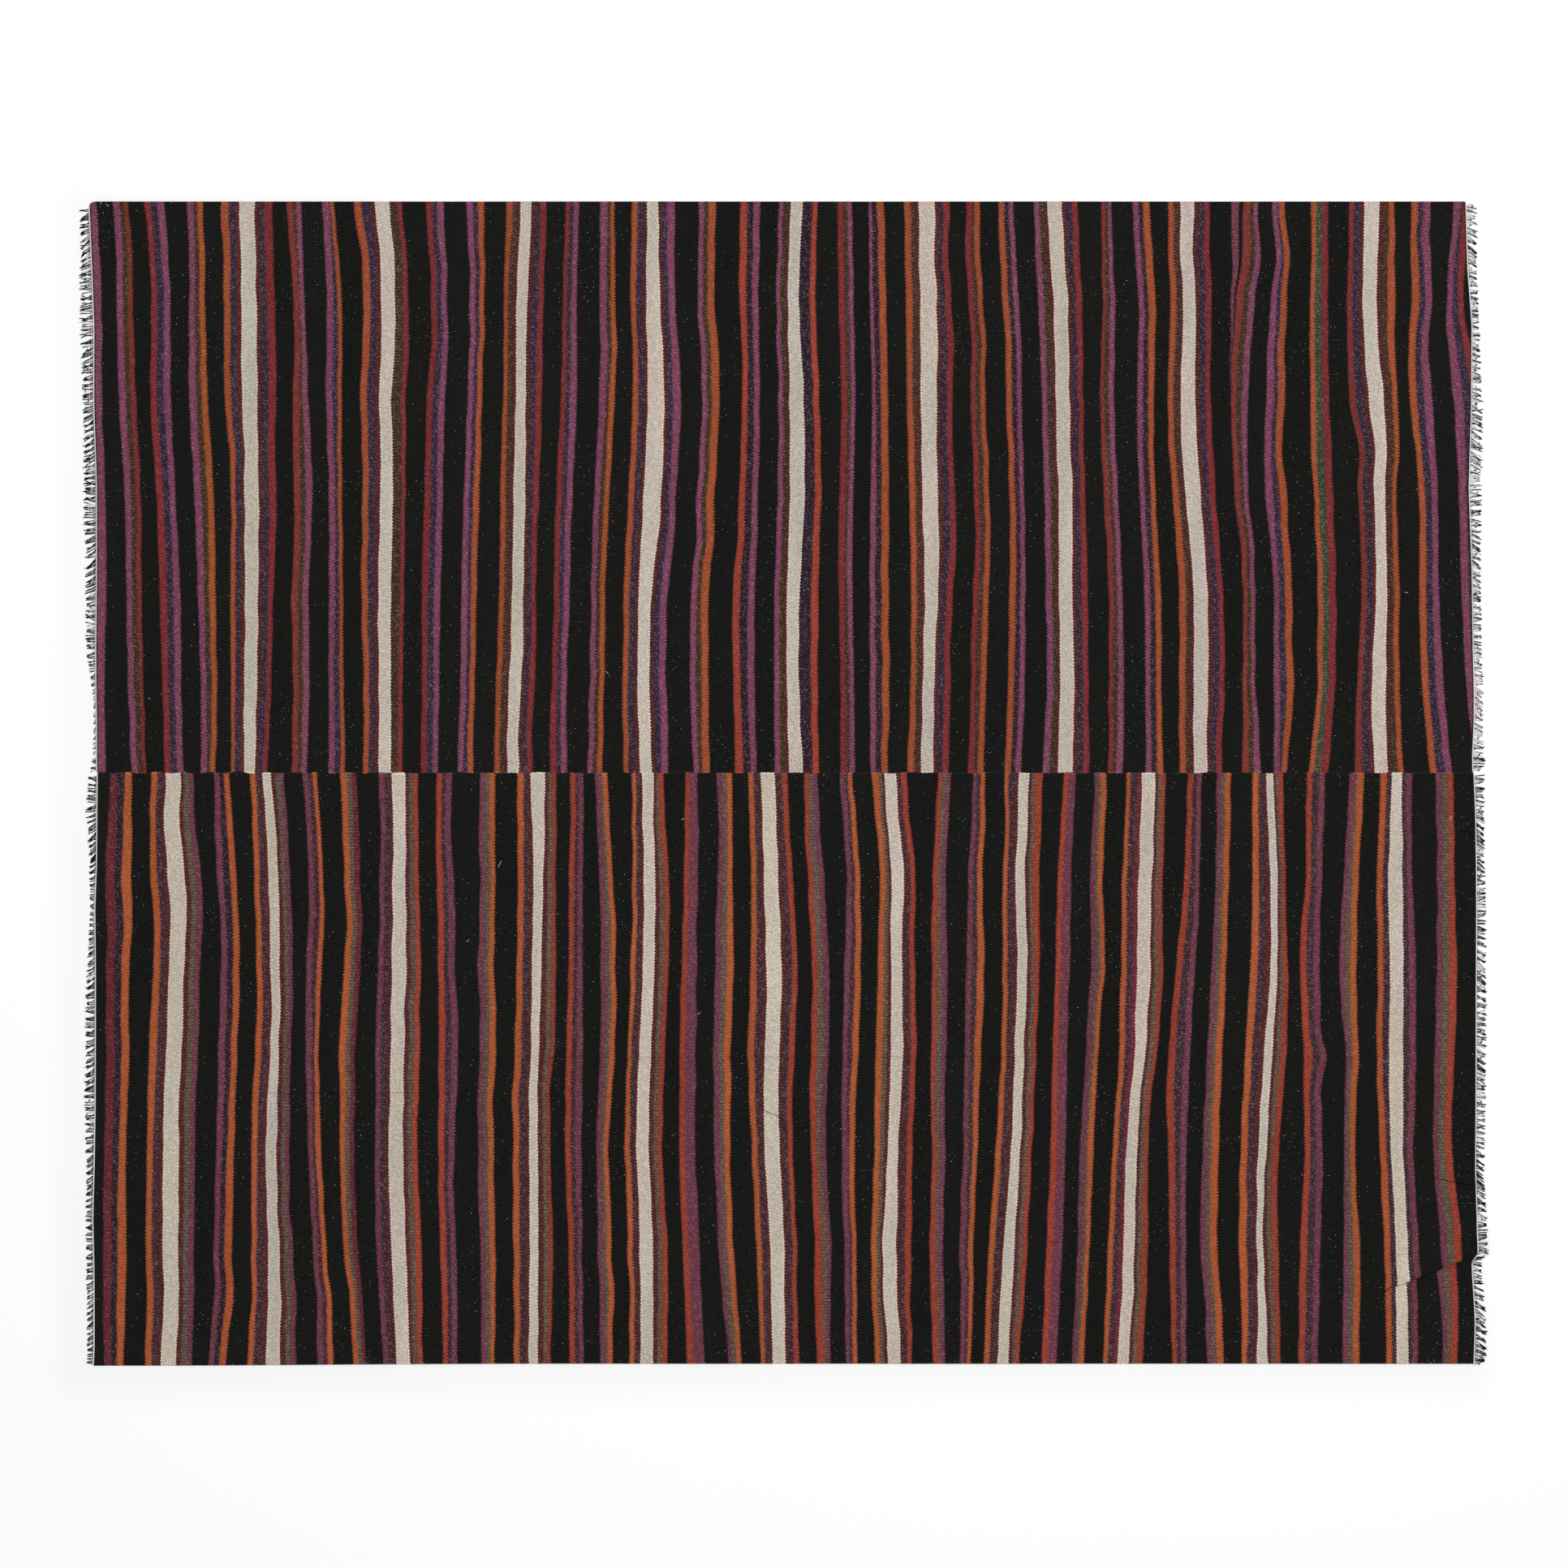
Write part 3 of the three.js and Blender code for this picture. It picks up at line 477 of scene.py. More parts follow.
# %% Leans between the charted heights
LEAN_REACH = 55
LEANS = {
    316: ((160, 2.2, 50), (250, 1.8, 60), (448, 1.6, 30), (480, 1.5, 100), (560, 1, 40), (1180, -2.8, 80),
          (1300, -1, 60), (1400, -1.3, 110), (1475, -1.8, 50), (1536, 1.4, 28), (1565, 5.2, 75),
          (1660, 1.2, 40)),
    430: ((363, 1.6, 30), (520, 2.3, 100), (760, 2.2, 50), (895, 1.6, 70), (1205, 3, 90), (1570, -1.4, 70),
          (1720, -2.3, 55), (1762, -4.4, 32)),
    550: ((280, 1.7, 40), (340, -2, 40), (460, 1.4, 45), (1180, -2, 50), (1196, 1.8, 30), (1310, -1.2, 60),
          (1430, -1.4, 60), (1590, -5.5, 42), (1672, 6.6, 42), (1725, 3.2, 35)),
    670: ((363, 2, 30), (700, -1.2, 45), (860, 3.3, 90), (941, 1.6, 28), (1030, -1, 50), (1195, 2.4, 80),
          (1540, 2.2, 50)),
    790: ((640, 1.2, 45), (760, 1.4, 45), (1170, -1.7, 60), (1600, -2.9, 50), (1723, -1.6, 28)),
    895: ((400, 1, 45), (655, -2.3, 60), (822, 1.8, 30), (1480, -1, 50), (1550, 1.2, 45), (1700, -1.2, 60)),
    1021: ((145, 0.8, 35), (220, -4.6, 45), (250, -1.8, 26), (340, 1.2, 40), (466, 2.6, 45), (575, -3.8, 45),
           (700, 1.3, 45), (812, -1.5, 30), (880, 1.5, 40), (1000, -1.8, 50), (1120, -1.7, 45),
           (1230, 2.2, 80), (1380, 1, 50), (1600, -1.3, 45), (1690, 1, 60)),
    1136: ((145, 2, 35), (215, 2.7, 120), (420, 2.7, 80), (570, 2, 50), (760, 1.8, 45), (880, -1, 45),
           (1000, -1, 45), (1110, -2, 55), (1420, -1.3, 45), (1480, 1, 45), (1600, -1.8, 45)),
    1243: ((160, -1.2, 45), (340, 1.8, 45), (514, -1.8, 30), (552, 1.6, 28), (600, 1.4, 50), (760, 1.3, 45),
           (940, 1, 45), (1360, -1.7, 70), (1615, 2.2, 35), (1655, -1.2, 45)),
    1295: ((1621, 2.8, 36),),
    1340: ((679, -4, 16),),
    1355: ((220, -1.8, 50), (430, 2, 75), (620, -2.6, 65), (880, 1.3, 45), (990, -1.6, 60), (1055, -1, 40),
           (1170, -1.7, 60), (1420, -2.5, 55), (1655, -1.2, 45), (1740, 1, 50)),
    1420: ((312, 1.6, 28),),
    1475: ((363, -2, 30), (580, -2.1, 45), (760, 1.5, 60), (880, 1, 40), (1040, -1.4, 34), (1570, -1.6, 28),
           (1689, -2, 30)),
    1540: ((142, 1.6, 30), (1106, -2.8, 34)),
    1600: ((200, 2.6, 70), (285, 4.6, 55), (400, 3.4, 90), (580, 1, 50), (760, 2.8, 45), (1000, -2, 50),
           (1115, -3.1, 55), (1145, 1.6, 28), (1180, 1.5, 40), (1390, 1.3, 45), (1485, 1.6, 28),
           (1520, 2, 70), (1760, 2.8, 70)),
    1650: ((405, 2.8, 36), (516, -1.8, 28), (1256, -2.2, 30), (1510, 1.8, 34)),
}

# %% Chart reader
MAROON_SHARE = 0.45


def read_chart(text, blue):
    pairs = {"dusk": blue, "umber": "olive", "hazel": "sage"}
    lines = text.strip().splitlines()
    heights = np.array([float(h) for h in lines[0].split()[1:]])
    rows = [line.split() for line in lines[1:]]
    yarns, edges = [], []
    for n, row in enumerate(rows):
        right = np.array([float(v) for v in row[1:]])
        before, after = rows[n - 1][0], rows[min(n + 1, len(rows) - 1)][0]
        if row[0] in pairs and "cream" in (before, after):
            halves = [("maroon", MAROON_SHARE), (pairs[row[0]], 1 - MAROON_SHARE)]
            near, far = halves if before == "cream" else halves[::-1]
            edges += [edges[-1] + (right - edges[-1]) * near[1], right]
            yarns += [near[0], far[0]]
        else:
            edges.append(right)
            yarns.append(row[0])
    return yarns + ["black"], heights, across_mm(np.array(edges))


def edges_at(heights, edges, photo_y):
    slopes = np.gradient(edges, heights, axis=1)
    y = np.broadcast_to(photo_y, edges.shape[:1]).astype(float)
    i = np.clip(np.searchsorted(heights, y) - 1, 0, len(heights) - 2)
    rows = np.arange(len(edges))
    span = heights[i + 1] - heights[i]
    inside = np.clip(y, heights[0], heights[-1])
    t = (inside - heights[i]) / span
    near, far = edges[rows, i], edges[rows, i + 1]
    near_slope, far_slope = slopes[rows, i] * span, slopes[rows, i + 1] * span
    smooth_part = t * t * (3 - 2 * t)
    curve = near + (far - near) * smooth_part
    curve += near_slope * t * (1 - t) ** 2 - far_slope * t * t * (1 - t)
    end_slope = np.where(y < heights[0], slopes[:, 0], slopes[:, -1])
    return curve + end_slope * (y - inside)


def smooth(t):
    t = np.clip(t, 0, 1)
    return t * t * (3 - 2 * t)


def leaned(x, photo_y):
    """Edges in millimetres, pushed by the leans near their heights."""
    moved = x
    for height, pushes in LEANS.items():
        near = smooth(1 - np.abs(photo_y - height) / LEAN_REACH)
        for at, push, reach in pushes:
            beside = np.abs(x - across_mm(at)) / (reach * MM_PER_PIXEL)
            moved = moved + push * MM_PER_PIXEL * near * smooth(1 - beside)
    return moved


UPPER_YARNS, UPPER_HEIGHTS, UPPER_STRIPES = read_chart(UPPER_CHART, "indigo")
LOWER_YARNS, LOWER_HEIGHTS, LOWER_STRIPES = read_chart(LOWER_CHART, "damson")
print("stripes:", len(UPPER_YARNS), "and", len(LOWER_YARNS))

# %% [markdown]
# ## Where the cloth ends
# The ends were cut off the loom by hand, so they wander a few millimetres. These rows give the cloth's
# left and right end and the length of the fringe at stations down each panel, as the solids have them.

# %% End tables
SEAM_Y = 20
HALF_GAP = 0.15
THICKNESS = 2.5
COLUMNS = ("y", "left", "right", "left_fringe", "right_fringe")
UPPER_ENDS = np.array([
    (1075.5, -1283, 1258.5, 17, 21),
    (953, -1278, 1262, 22, 17),
    (848, -1274, 1270, 25, 14),
    (698, -1274, 1269, 20, 21),
    (548, -1269, 1264.5, 24, 23),
    (398, -1269, 1270, 21, 17),
    (248, -1270.5, 1272, 18, 17),
    (173, -1270, 1274, 7, 18),
    (113, -1269, 1274, 4, 16),
    (53, -1269, 1271, 8, 23),
    (20, -1268.5, 1271.5, 13, 20),
])
LOWER_ENDS = np.array([
    (20, -1267.5, 1273.5, 16, 19),
    (-52, -1268.5, 1276.5, 20, 17),
    (-142, -1269, 1278, 14, 16),
    (-232, -1272, 1278.5, 9, 17),
    (-352, -1271, 1278, 17, 19),
    (-592, -1271.5, 1277.5, 20, 18),
    (-712, -1273.5, 1276.5, 15, 16),
    (-802, -1276, 1279.5, 13, 19),
    (-866, -1274.5, 1279.7, 14, 19),
    (-884, -1274, 1279.7, 14, 17),
    (-952, -1273.5, 1278, 14, 21),
    (-1042, -1273.5, 1274.7, 13, 22),
    (-1075.5, -1275, 1273.5, 12, 21),
])


def end_value(table, y, column):
    down = table[::-1]
    return np.interp(y, down[:, 0], down[:, COLUMNS.index(column)])


for name, table in (("upper", UPPER_ENDS), ("lower", LOWER_ENDS)):
    print(name, "panel is", round(float(table[0, 0] - table[-1, 0])), "mm wide")

# %% [markdown]
# ## How flat the cloth lies
# A kilim has no pile to stiffen it, so it keeps soft ridges where it was folded for storage, and swells
# a little between them. Each ridge is listed. A kink is a place where the stripes jog sideways,
# because the cloth was dragged when the fold was pressed.

# %% Ridges, swells and kinks
RIDGES = (
    {"y": -505, "slope": 0, "start": -620, "end": 1090, "fade": 60, "height": 1.8, "half": 12},
    {"y": -571, "slope": 0, "start": -1010, "end": -590, "fade": 60, "height": 1.5, "half": 12},
    {"y": -734, "slope": -0.15, "start": 1215, "end": 1290, "fade": 14, "height": 2.5, "half": 8},
)
KINKS = (
    {"x": 990, "y": -504, "push": 9.5, "across": 40, "above": 35, "below": 70},
    {"x": 1184, "y": 1012, "push": -6, "across": 44, "above": 34, "below": 34},
)
SWELL_HEIGHT = 0.5
SWELLS = ((620, 0.3, 0.4), (410, 1.1, 2.0), (270, 2.2, 1.1))


def swell(x, y):
    total = 0
    for length, heading, phase in SWELLS:
        along = x * math.cos(heading) + y * math.sin(heading)
        total = total + 1 + np.sin(2 * math.pi * along / length + phase)
    return SWELL_HEIGHT * total / 2


def ridge_height(x, y):
    total = 0
    for r in RIDGES:
        inside = smooth((x - r["start"]) / r["fade"]) * smooth((r["end"] - x) / r["fade"])
        away = np.abs(y - r["y"] - r["slope"] * np.maximum(0, x - r["start"])) / r["half"]
        total = total + r["height"] * inside * smooth(1 - away)
    return total


def kinked(x, y):
    moved = x
    for k in KINKS:
        reach = np.where(y > k["y"], k["above"], k["below"])
        near_row = np.clip(1 - np.abs(y - k["y"]) / reach, 0, 1)
        moved = moved + k["push"] * near_row * smooth(1 - np.abs(x - k["x"]) / k["across"])
    return moved


def waves(seed, count, shortest, longest, across=1.0):
    """Seeded waves of many lengths and headings. Below 1, across makes them longer along x."""
    dice = np.random.default_rng(seed)
    return [(length, math.cos(heading) * across, math.sin(heading), phase) for length, heading, phase in
            zip(dice.uniform(shortest, longest, count), dice.uniform(0, math.pi, count),
                dice.uniform(0, 2 * math.pi, count))]


def wave_sum(table, x, y):
    total = sum(np.sin(2 * math.pi * (x * u + y * v) / length + phase) for length, u, v, phase in table)
    return total / math.sqrt(len(table) / 2)


STRIPE_WOBBLE = 0.55
SEAM_WOBBLE = 0.8
SEAM_FADE = 16
LEFT_OF_BOTTOM = -1270
BOTTOM_RISE = 4
BOTTOM_RUN = 800
BOTTOM_FADE = 120
RIB_DRIFT = 2.2
DEPTH_VARIES = 0.035
DEPTH_STRETCH = (1.6, 0.35)
HUE_VARIES = 0.01
HUE_STRETCH = 0.3
WOBBLE_WAVES = waves(41, 9, 38, 110, 0.6)
SEAM_WAVES = waves(42, 5, 18, 60)
DRIFT_WAVES = waves(43, 8, 120, 420)
LINT_WAVES = waves(51, 9, 70, 400)
DYE_WAVES = [waves(44 + i, 10, 30, 260) for i in range(4)]


def seam_shift(x, y):
    return SEAM_WOBBLE * wave_sum(SEAM_WAVES, x, 0 * x) * smooth(1 - np.abs(y - SEAM_Y) / SEAM_FADE)


def bottom_shift(x, y):
    """The lower selvedge runs a little higher from the middle to the right than at the left."""
    fade = smooth((BOTTOM_FADE - y + LOWER_ENDS[-1, 0]) / BOTTOM_FADE)
    return BOTTOM_RISE * smooth((x - LEFT_OF_BOTTOM) / BOTTOM_RUN) * fade


def dye_tint(x, y):
    """How the dye and the fleece vary from place to place: mostly in depth, a little in hue."""
    depth = 1 + DEPTH_VARIES * wave_sum(DYE_WAVES[0], x * DEPTH_STRETCH[0], y * DEPTH_STRETCH[1])
    hues = [1 + HUE_VARIES * wave_sum(table, x, y * HUE_STRETCH) for table in DYE_WAVES[1:]]
    return np.stack([depth * hue for hue in hues], axis=-1)


print(len(RIDGES), "ridges and", len(KINKS), "kinks")

# %% [markdown]
# ## The tuck
# Near the lower right corner the cloth laps over itself in a thin wedge. From above it is a slanting
# lip with its shadow, and the stripes jog a little to the left below it. The section is a path down the
# cloth: up a ramp, round the lip, back under it and forward again, as in the solid.

# %% Tuck sizes and path
TUCK_START = np.array([1121, -930.6])
TUCK_END = np.array([1283, -867])
TUCK_DEPTH = 12.5
TUCK_SHIFT = 10.4
SHIFT_FULL_AT = 0.6
SHARE_ABOVE = 0.06
FADE_ABOVE = 75
FADE_BELOW = 150
END_EASE = 18
TURN_RADIUS = 1.4
TURN_STEPS = 5
ROLL_OVER = 25
LAST_STRIPE_X = 1808
SHORTEST_FLAP = 0.8
SHORTEST_STEP = 0.4
RAMP_LENGTH = 28
RAMP_STEPS = 6
LIP_TOP = 1


def along_tuck(x):
    return np.maximum(0, (x - TUCK_START[0]) / (TUCK_END[0] - TUCK_START[0]))


def lip_y(x):
    return TUCK_START[1] + (TUCK_END[1] - TUCK_START[1]) * along_tuck(x)


def sideways(x):
    share = np.clip(along_tuck(x) / SHIFT_FULL_AT, 0, 1)
    return TUCK_SHIFT * share * (2 - share)


def jog(x, y, share):
    """How far the stripes are moved. The cut end itself swings over below the lip, so it runs aslant."""
    moved = share(x, y) * sideways(x)
    eased = np.where(y < lip_y(x), smooth((lip_y(x) - y) / END_EASE), 1)
    return moved * np.where(x > across_mm(LAST_STRIPE_X), eased, 1)


def tuck_path(x):
    """Rows of (beside the lip, height, how far through the hidden flap) at one x or an array of them."""
    turn = math.pi * smooth((x - TUCK_START[0]) / ROLL_OVER)
    length = np.maximum(TURN_RADIUS * turn / TURN_STEPS, SHORTEST_STEP)
    depth = TUCK_DEPTH * along_tuck(x)
    bends = [((i + 0.5) * turn / TURN_STEPS, length) for i in range(TURN_STEPS)]
    moves = bends + [(turn, np.maximum(depth, SHORTEST_FLAP))] + bends[::-1]
    drop = sum(step * np.sin(heading) for heading, step in moves)
    rows = []
    for i in range(RAMP_STEPS, 0, -1):
        out = i / RAMP_STEPS
        rows.append((depth + out * RAMP_LENGTH, drop * (1 - smooth(out)), 0))
    rows.append((depth + LIP_TOP, drop, 0))
    beside, height = np.zeros_like(depth), drop
    rows.append((beside, height, 0))
    for i, (heading, step) in enumerate(moves):
        beside = beside - step * np.cos(heading)
        height = height - step * np.sin(heading)
        rows.append((beside, height, 0 if i < TURN_STEPS else 1))
    return rows


EDGE_PATH = tuck_path(np.array(float(TUCK_END[0])))
EDGE_RAMP = np.array([(float(beside), float(height)) for beside, height, _ in EDGE_PATH[:RAMP_STEPS + 2]])
print(f"the lip stands {EDGE_RAMP[-1, 1]:.1f} mm high at the edge")

# %% [markdown]
# ## A panel's net
# Each panel is a net of rows across the cloth. The rows are about 12 mm apart and closer at the ridges,
# so that folds are real shape. A net's columns are the stripe edges, with wide stripes cut into a few
# columns more. A dark line of end weft closes the left and right end of the weave.

# %% Rows of a panel
ROW_STEP = 12
FINE_STEP = 4
SELVEDGE_ROWS = (0, 0.45, 1.1, 2.2, 5)
TUCK_ROOM_TOP = -815
TUCK_ROOM_BELOW = -962
FAN_ROWS = 7
LEAST_ROW_GAP = 1


def row_heights(top, bottom, fine_near=()):
    ys = [top - d for d in SELVEDGE_ROWS] + [bottom + d for d in SELVEDGE_ROWS]
    y = top - ROW_STEP
    while y > bottom + SELVEDGE_ROWS[-1] + LEAST_ROW_GAP:
        ys.append(y)
        fine = any(abs(y - at) <= reach for at, reach in fine_near)
        y -= FINE_STEP if fine else ROW_STEP
    return sorted(set(ys), reverse=True)


CREASES = ((-505, 18), (-571, 18), (-738, 18))
UPPER_ROWS = row_heights(1075.5, SEAM_Y + HALF_GAP, [(1012, 40)])
LOWER_ROWS = row_heights(SEAM_Y - HALF_GAP, -1075.5, CREASES)
print("rows:", len(UPPER_ROWS), "and", len(LOWER_ROWS))

# %% Columns of a panel
END_WEFT = 1.2
WIDEST_COLUMN = 12
TUCK_COLUMN = 4
BESIDE_TUCK = (-12, 40)
ROWS_APART = 6
LEAST_WIDTH = 0.02
CORNER_RADIUS = 8
CORNER_CUT = 13


def boundaries(stripes, heights, ends, y):
    """The left end, the end weft, every stripe edge and the right end, in millimetres, at height y."""
    y = np.broadcast_to(y, len(stripes) + 4).astype(float)
    left = end_value(ends, y[0], "left") + SHIFT_X + corner_cut(ends, y[0])
    right = end_value(ends, y[-1], "right") + SHIFT_X
    photo_y = photo_height(y[2:-2])
    inner = kinked(leaned(edges_at(heights, stripes, photo_y), photo_y), y[2:-2])
    inner = inner + STRIPE_WOBBLE * wave_sum(WOBBLE_WAVES, inner, y[2:-2])
    inner = np.clip(np.maximum.accumulate(inner), left + END_WEFT, right - END_WEFT)
    return np.concatenate([[left, left + END_WEFT], inner, [right - END_WEFT, right]])


def corner_cut(ends, y):
    """How far the rounded top left corner of the upper panel draws its left end in."""
    down = np.clip((y - ends[0, 0]) / CORNER_RADIUS + 1, 0, 1)
    return CORNER_CUT * (1 - math.sqrt(1 - down**2)) if ends is UPPER_ENDS else 0


def column_plan(stripes, heights, ends, rows):
    """For every column: the boundary on its left, and its share of the way to the next one."""
    found = [boundaries(stripes, heights, ends, y) for y in rows[::ROWS_APART]]
    widths = np.max(np.diff(found), axis=0)
    from_tuck = np.mean(found, axis=0) - TUCK_START[0]
    plan = []
    for i, width in enumerate(widths):
        near_tuck = ends is LOWER_ENDS and BESIDE_TUCK[0] < from_tuck[i] < BESIDE_TUCK[1]
        count = max(1, math.ceil(width / (TUCK_COLUMN if near_tuck else WIDEST_COLUMN)))
        plan += [(i, k / count) for k in range(count)]
    return plan + [(len(widths) - 1, 1.0)]


def spread(x, plan):
    i = np.array([p[0] for p in plan])
    share = np.array([p[1] for p in plan])
    return x[i] + (x[i + 1] - x[i]) * share


UPPER_PLAN = column_plan(UPPER_STRIPES, UPPER_HEIGHTS, UPPER_ENDS, UPPER_ROWS)
LOWER_PLAN = column_plan(LOWER_STRIPES, LOWER_HEIGHTS, LOWER_ENDS, LOWER_ROWS)
print("columns:", len(UPPER_PLAN), "and", len(LOWER_PLAN))

# %% Nets of middle points
FITTING_ROUNDS = 3


def upper_net():
    net = []
    for height in UPPER_ROWS:
        x = spread(boundaries(UPPER_STRIPES, UPPER_HEIGHTS, UPPER_ENDS, height), UPPER_PLAN)
        y = np.full_like(x, height)
        net.append((x, y, swell(x, y)))
    return net


def shift_above(x, y):
    return SHARE_ABOVE * smooth(1 - (y - lip_y(x)) / FADE_ABOVE)


def shift_below(x, y):
    return -(1 - SHARE_ABOVE) * smooth(1 - (lip_y(x) - y) / FADE_BELOW)


def slanting_row(place, share):
    """A row whose height depends on x. The stripe edges are found again at each column's own height."""
    x = boundaries(LOWER_STRIPES, LOWER_HEIGHTS, LOWER_ENDS, TUCK_START[1])
    for _ in range(FITTING_ROUNDS):
        y = place(x)
        x = boundaries(LOWER_STRIPES, LOWER_HEIGHTS, LOWER_ENDS, y)
        x = x + jog(x, y, share)
    columns = spread(x, LOWER_PLAN)
    return columns, place(columns)


def lower_net():
    """Level rows, a fan down to the tuck, the tuck's own path, a fan away from it and level rows again."""
    net = []

    def lay(place, share, lift=lambda x, y: 0):
        x, y = slanting_row(place, share)
        net.append((x, y, swell(x, y) + lift(x, y)))

    def path_y(x, i):
        return lip_y(x) + tuck_path(x)[i][0]

    for height in LOWER_ROWS:
        if height > TUCK_ROOM_TOP:
            lay(lambda x: np.full_like(x, height), shift_above, ridge_height)
    for t in np.arange(FAN_ROWS) / FAN_ROWS:
        lay(lambda x: TUCK_ROOM_TOP + (path_y(x, 0) - TUCK_ROOM_TOP) * t, shift_above)
    for i, (_, _, through) in enumerate(EDGE_PATH):
        lay(lambda x: path_y(x, i), (shift_above, shift_below)[through], lambda x, y: tuck_path(x)[i][1])
    for t in np.arange(1, FAN_ROWS + 1) / FAN_ROWS:
        lay(lambda x: path_y(x, -1) + (TUCK_ROOM_BELOW - path_y(x, -1)) * t, shift_below)
    for height in LOWER_ROWS:
        if height < TUCK_ROOM_BELOW:
            lay(lambda x: np.full_like(x, height), shift_below)
    return net


UPPER_NET = upper_net()
LOWER_NET = lower_net()
print("net rows:", len(UPPER_NET), "and", len(LOWER_NET))

# %% [markdown]
# ## From net to cloth
# The cloth is a closed sheet, half its thickness to either side of the net and rounded at its selvedges.
# Every face remembers its own yarn and the yarns to its left and right, and every corner how far it is
# from its stripe's two edges. The weave material cuts the teeth of the stripes from these.

# %% Sheet builder
SELVEDGE_ROUND = 1.8
THINNEST = 0.3
DYE_LOTS = (0.94, 1.06)
LOT_HUES = (0.98, 1.02)
LEAST_LINT = 0.25
LINT_ON_COLOURS = 0.16


def store(mesh, name, kind, domain, values):
    """Keeps a value for every point, face or corner, where materials and trees find it by its name."""
    field = {"FLOAT_COLOR": "color", "FLOAT_VECTOR": "vector"}.get(kind, "value")
    mesh.attributes.new(name, kind, domain).data.foreach_set(field, values)


def link_piece(name, mesh):
    piece = bpy.data.objects.new(name, mesh)
    bpy.context.scene.collection.objects.link(piece)
    print(name, "has", sum(len(p.vertices) - 2 for p in mesh.polygons), "triangles")
    return piece


def net_arrays(net):
    moved = [[x, y + seam_shift(x, y) + bottom_shift(x, y), z] for x, y, z in net]
    return np.array(moved).transpose(0, 2, 1)


def sheet_points(points):
    """Upper and lower points of the sheet, thinner towards its rounded selvedges."""
    before = np.concatenate([points[:1], points[:-1]])
    after = np.concatenate([points[1:], points[-1:]])
    run = after - before
    length = np.hypot(run[..., 1], run[..., 2])
    normal = np.stack([np.zeros_like(length), run[..., 2] / length, -run[..., 1] / length], axis=-1)
    y, top, bottom = points[..., 1], points[0, 0, 1], points[-1, 0, 1]
    edge = np.minimum(np.abs(y - top), np.abs(y - bottom))
    inward = np.clip(1 - edge / SELVEDGE_ROUND, 0, 1)
    half = np.maximum(THINNEST, THICKNESS / 2 * np.sqrt(1 - inward**2))
    lifted = points + np.array([0, 0, THICKNESS / 2])
    return lifted + normal * half[..., None], lifted - normal * half[..., None]


def neighbours_of(bounds):
    """For each stripe of one row: the nearest stripes to its left and right that have some width there."""
    wide = [i for i, width in enumerate(np.diff(bounds)) if width > LEAST_WIDTH]
    return dict(zip(wide, wide[:1] + wide)), dict(zip(wide, wide[1:] + wide[-1:]))


def sheet_faces(rows, columns):
    """Faces of a closed sheet, as (row, column, corners). A corner is (0 on top or 1 under, row, column)."""
    faces = []
    last_row, last = rows - 1, columns - 1
    for r in range(last_row):
        for c in range(last):
            faces.append((r, c, ((0, r, c), (0, r + 1, c), (0, r + 1, c + 1), (0, r, c + 1))))
            faces.append((r, c, ((1, r, c), (1, r, c + 1), (1, r + 1, c + 1), (1, r + 1, c))))
    for r in range(last_row):
        faces.append((r, 0, ((0, r, 0), (1, r, 0), (1, r + 1, 0), (0, r + 1, 0))))
        faces.append((r, last - 1, ((0, r, last), (0, r + 1, last), (1, r + 1, last), (1, r, last))))
    for c in range(last):
        faces.append((0, c, ((0, 0, c), (0, 0, c + 1), (1, 0, c + 1), (1, 0, c))))
        faces.append((last_row - 1, c, ((0, last_row, c), (1, last_row, c), (1, last_row, c + 1),
                                        (0, last_row, c + 1))))
    return faces


def dye(stripe_yarns, seed):
    """Every stripe's colour, from a pot of its own."""
    count = len(stripe_yarns)
    lots = np.random.default_rng(seed).uniform(*DYE_LOTS, (count, 1))
    lots = lots * np.random.default_rng(seed + 1).uniform(*LOT_HUES, (count, 3))
    return [np.array(linear(YARNS[yarn])) * lot for yarn, lot in zip(stripe_yarns, lots)]


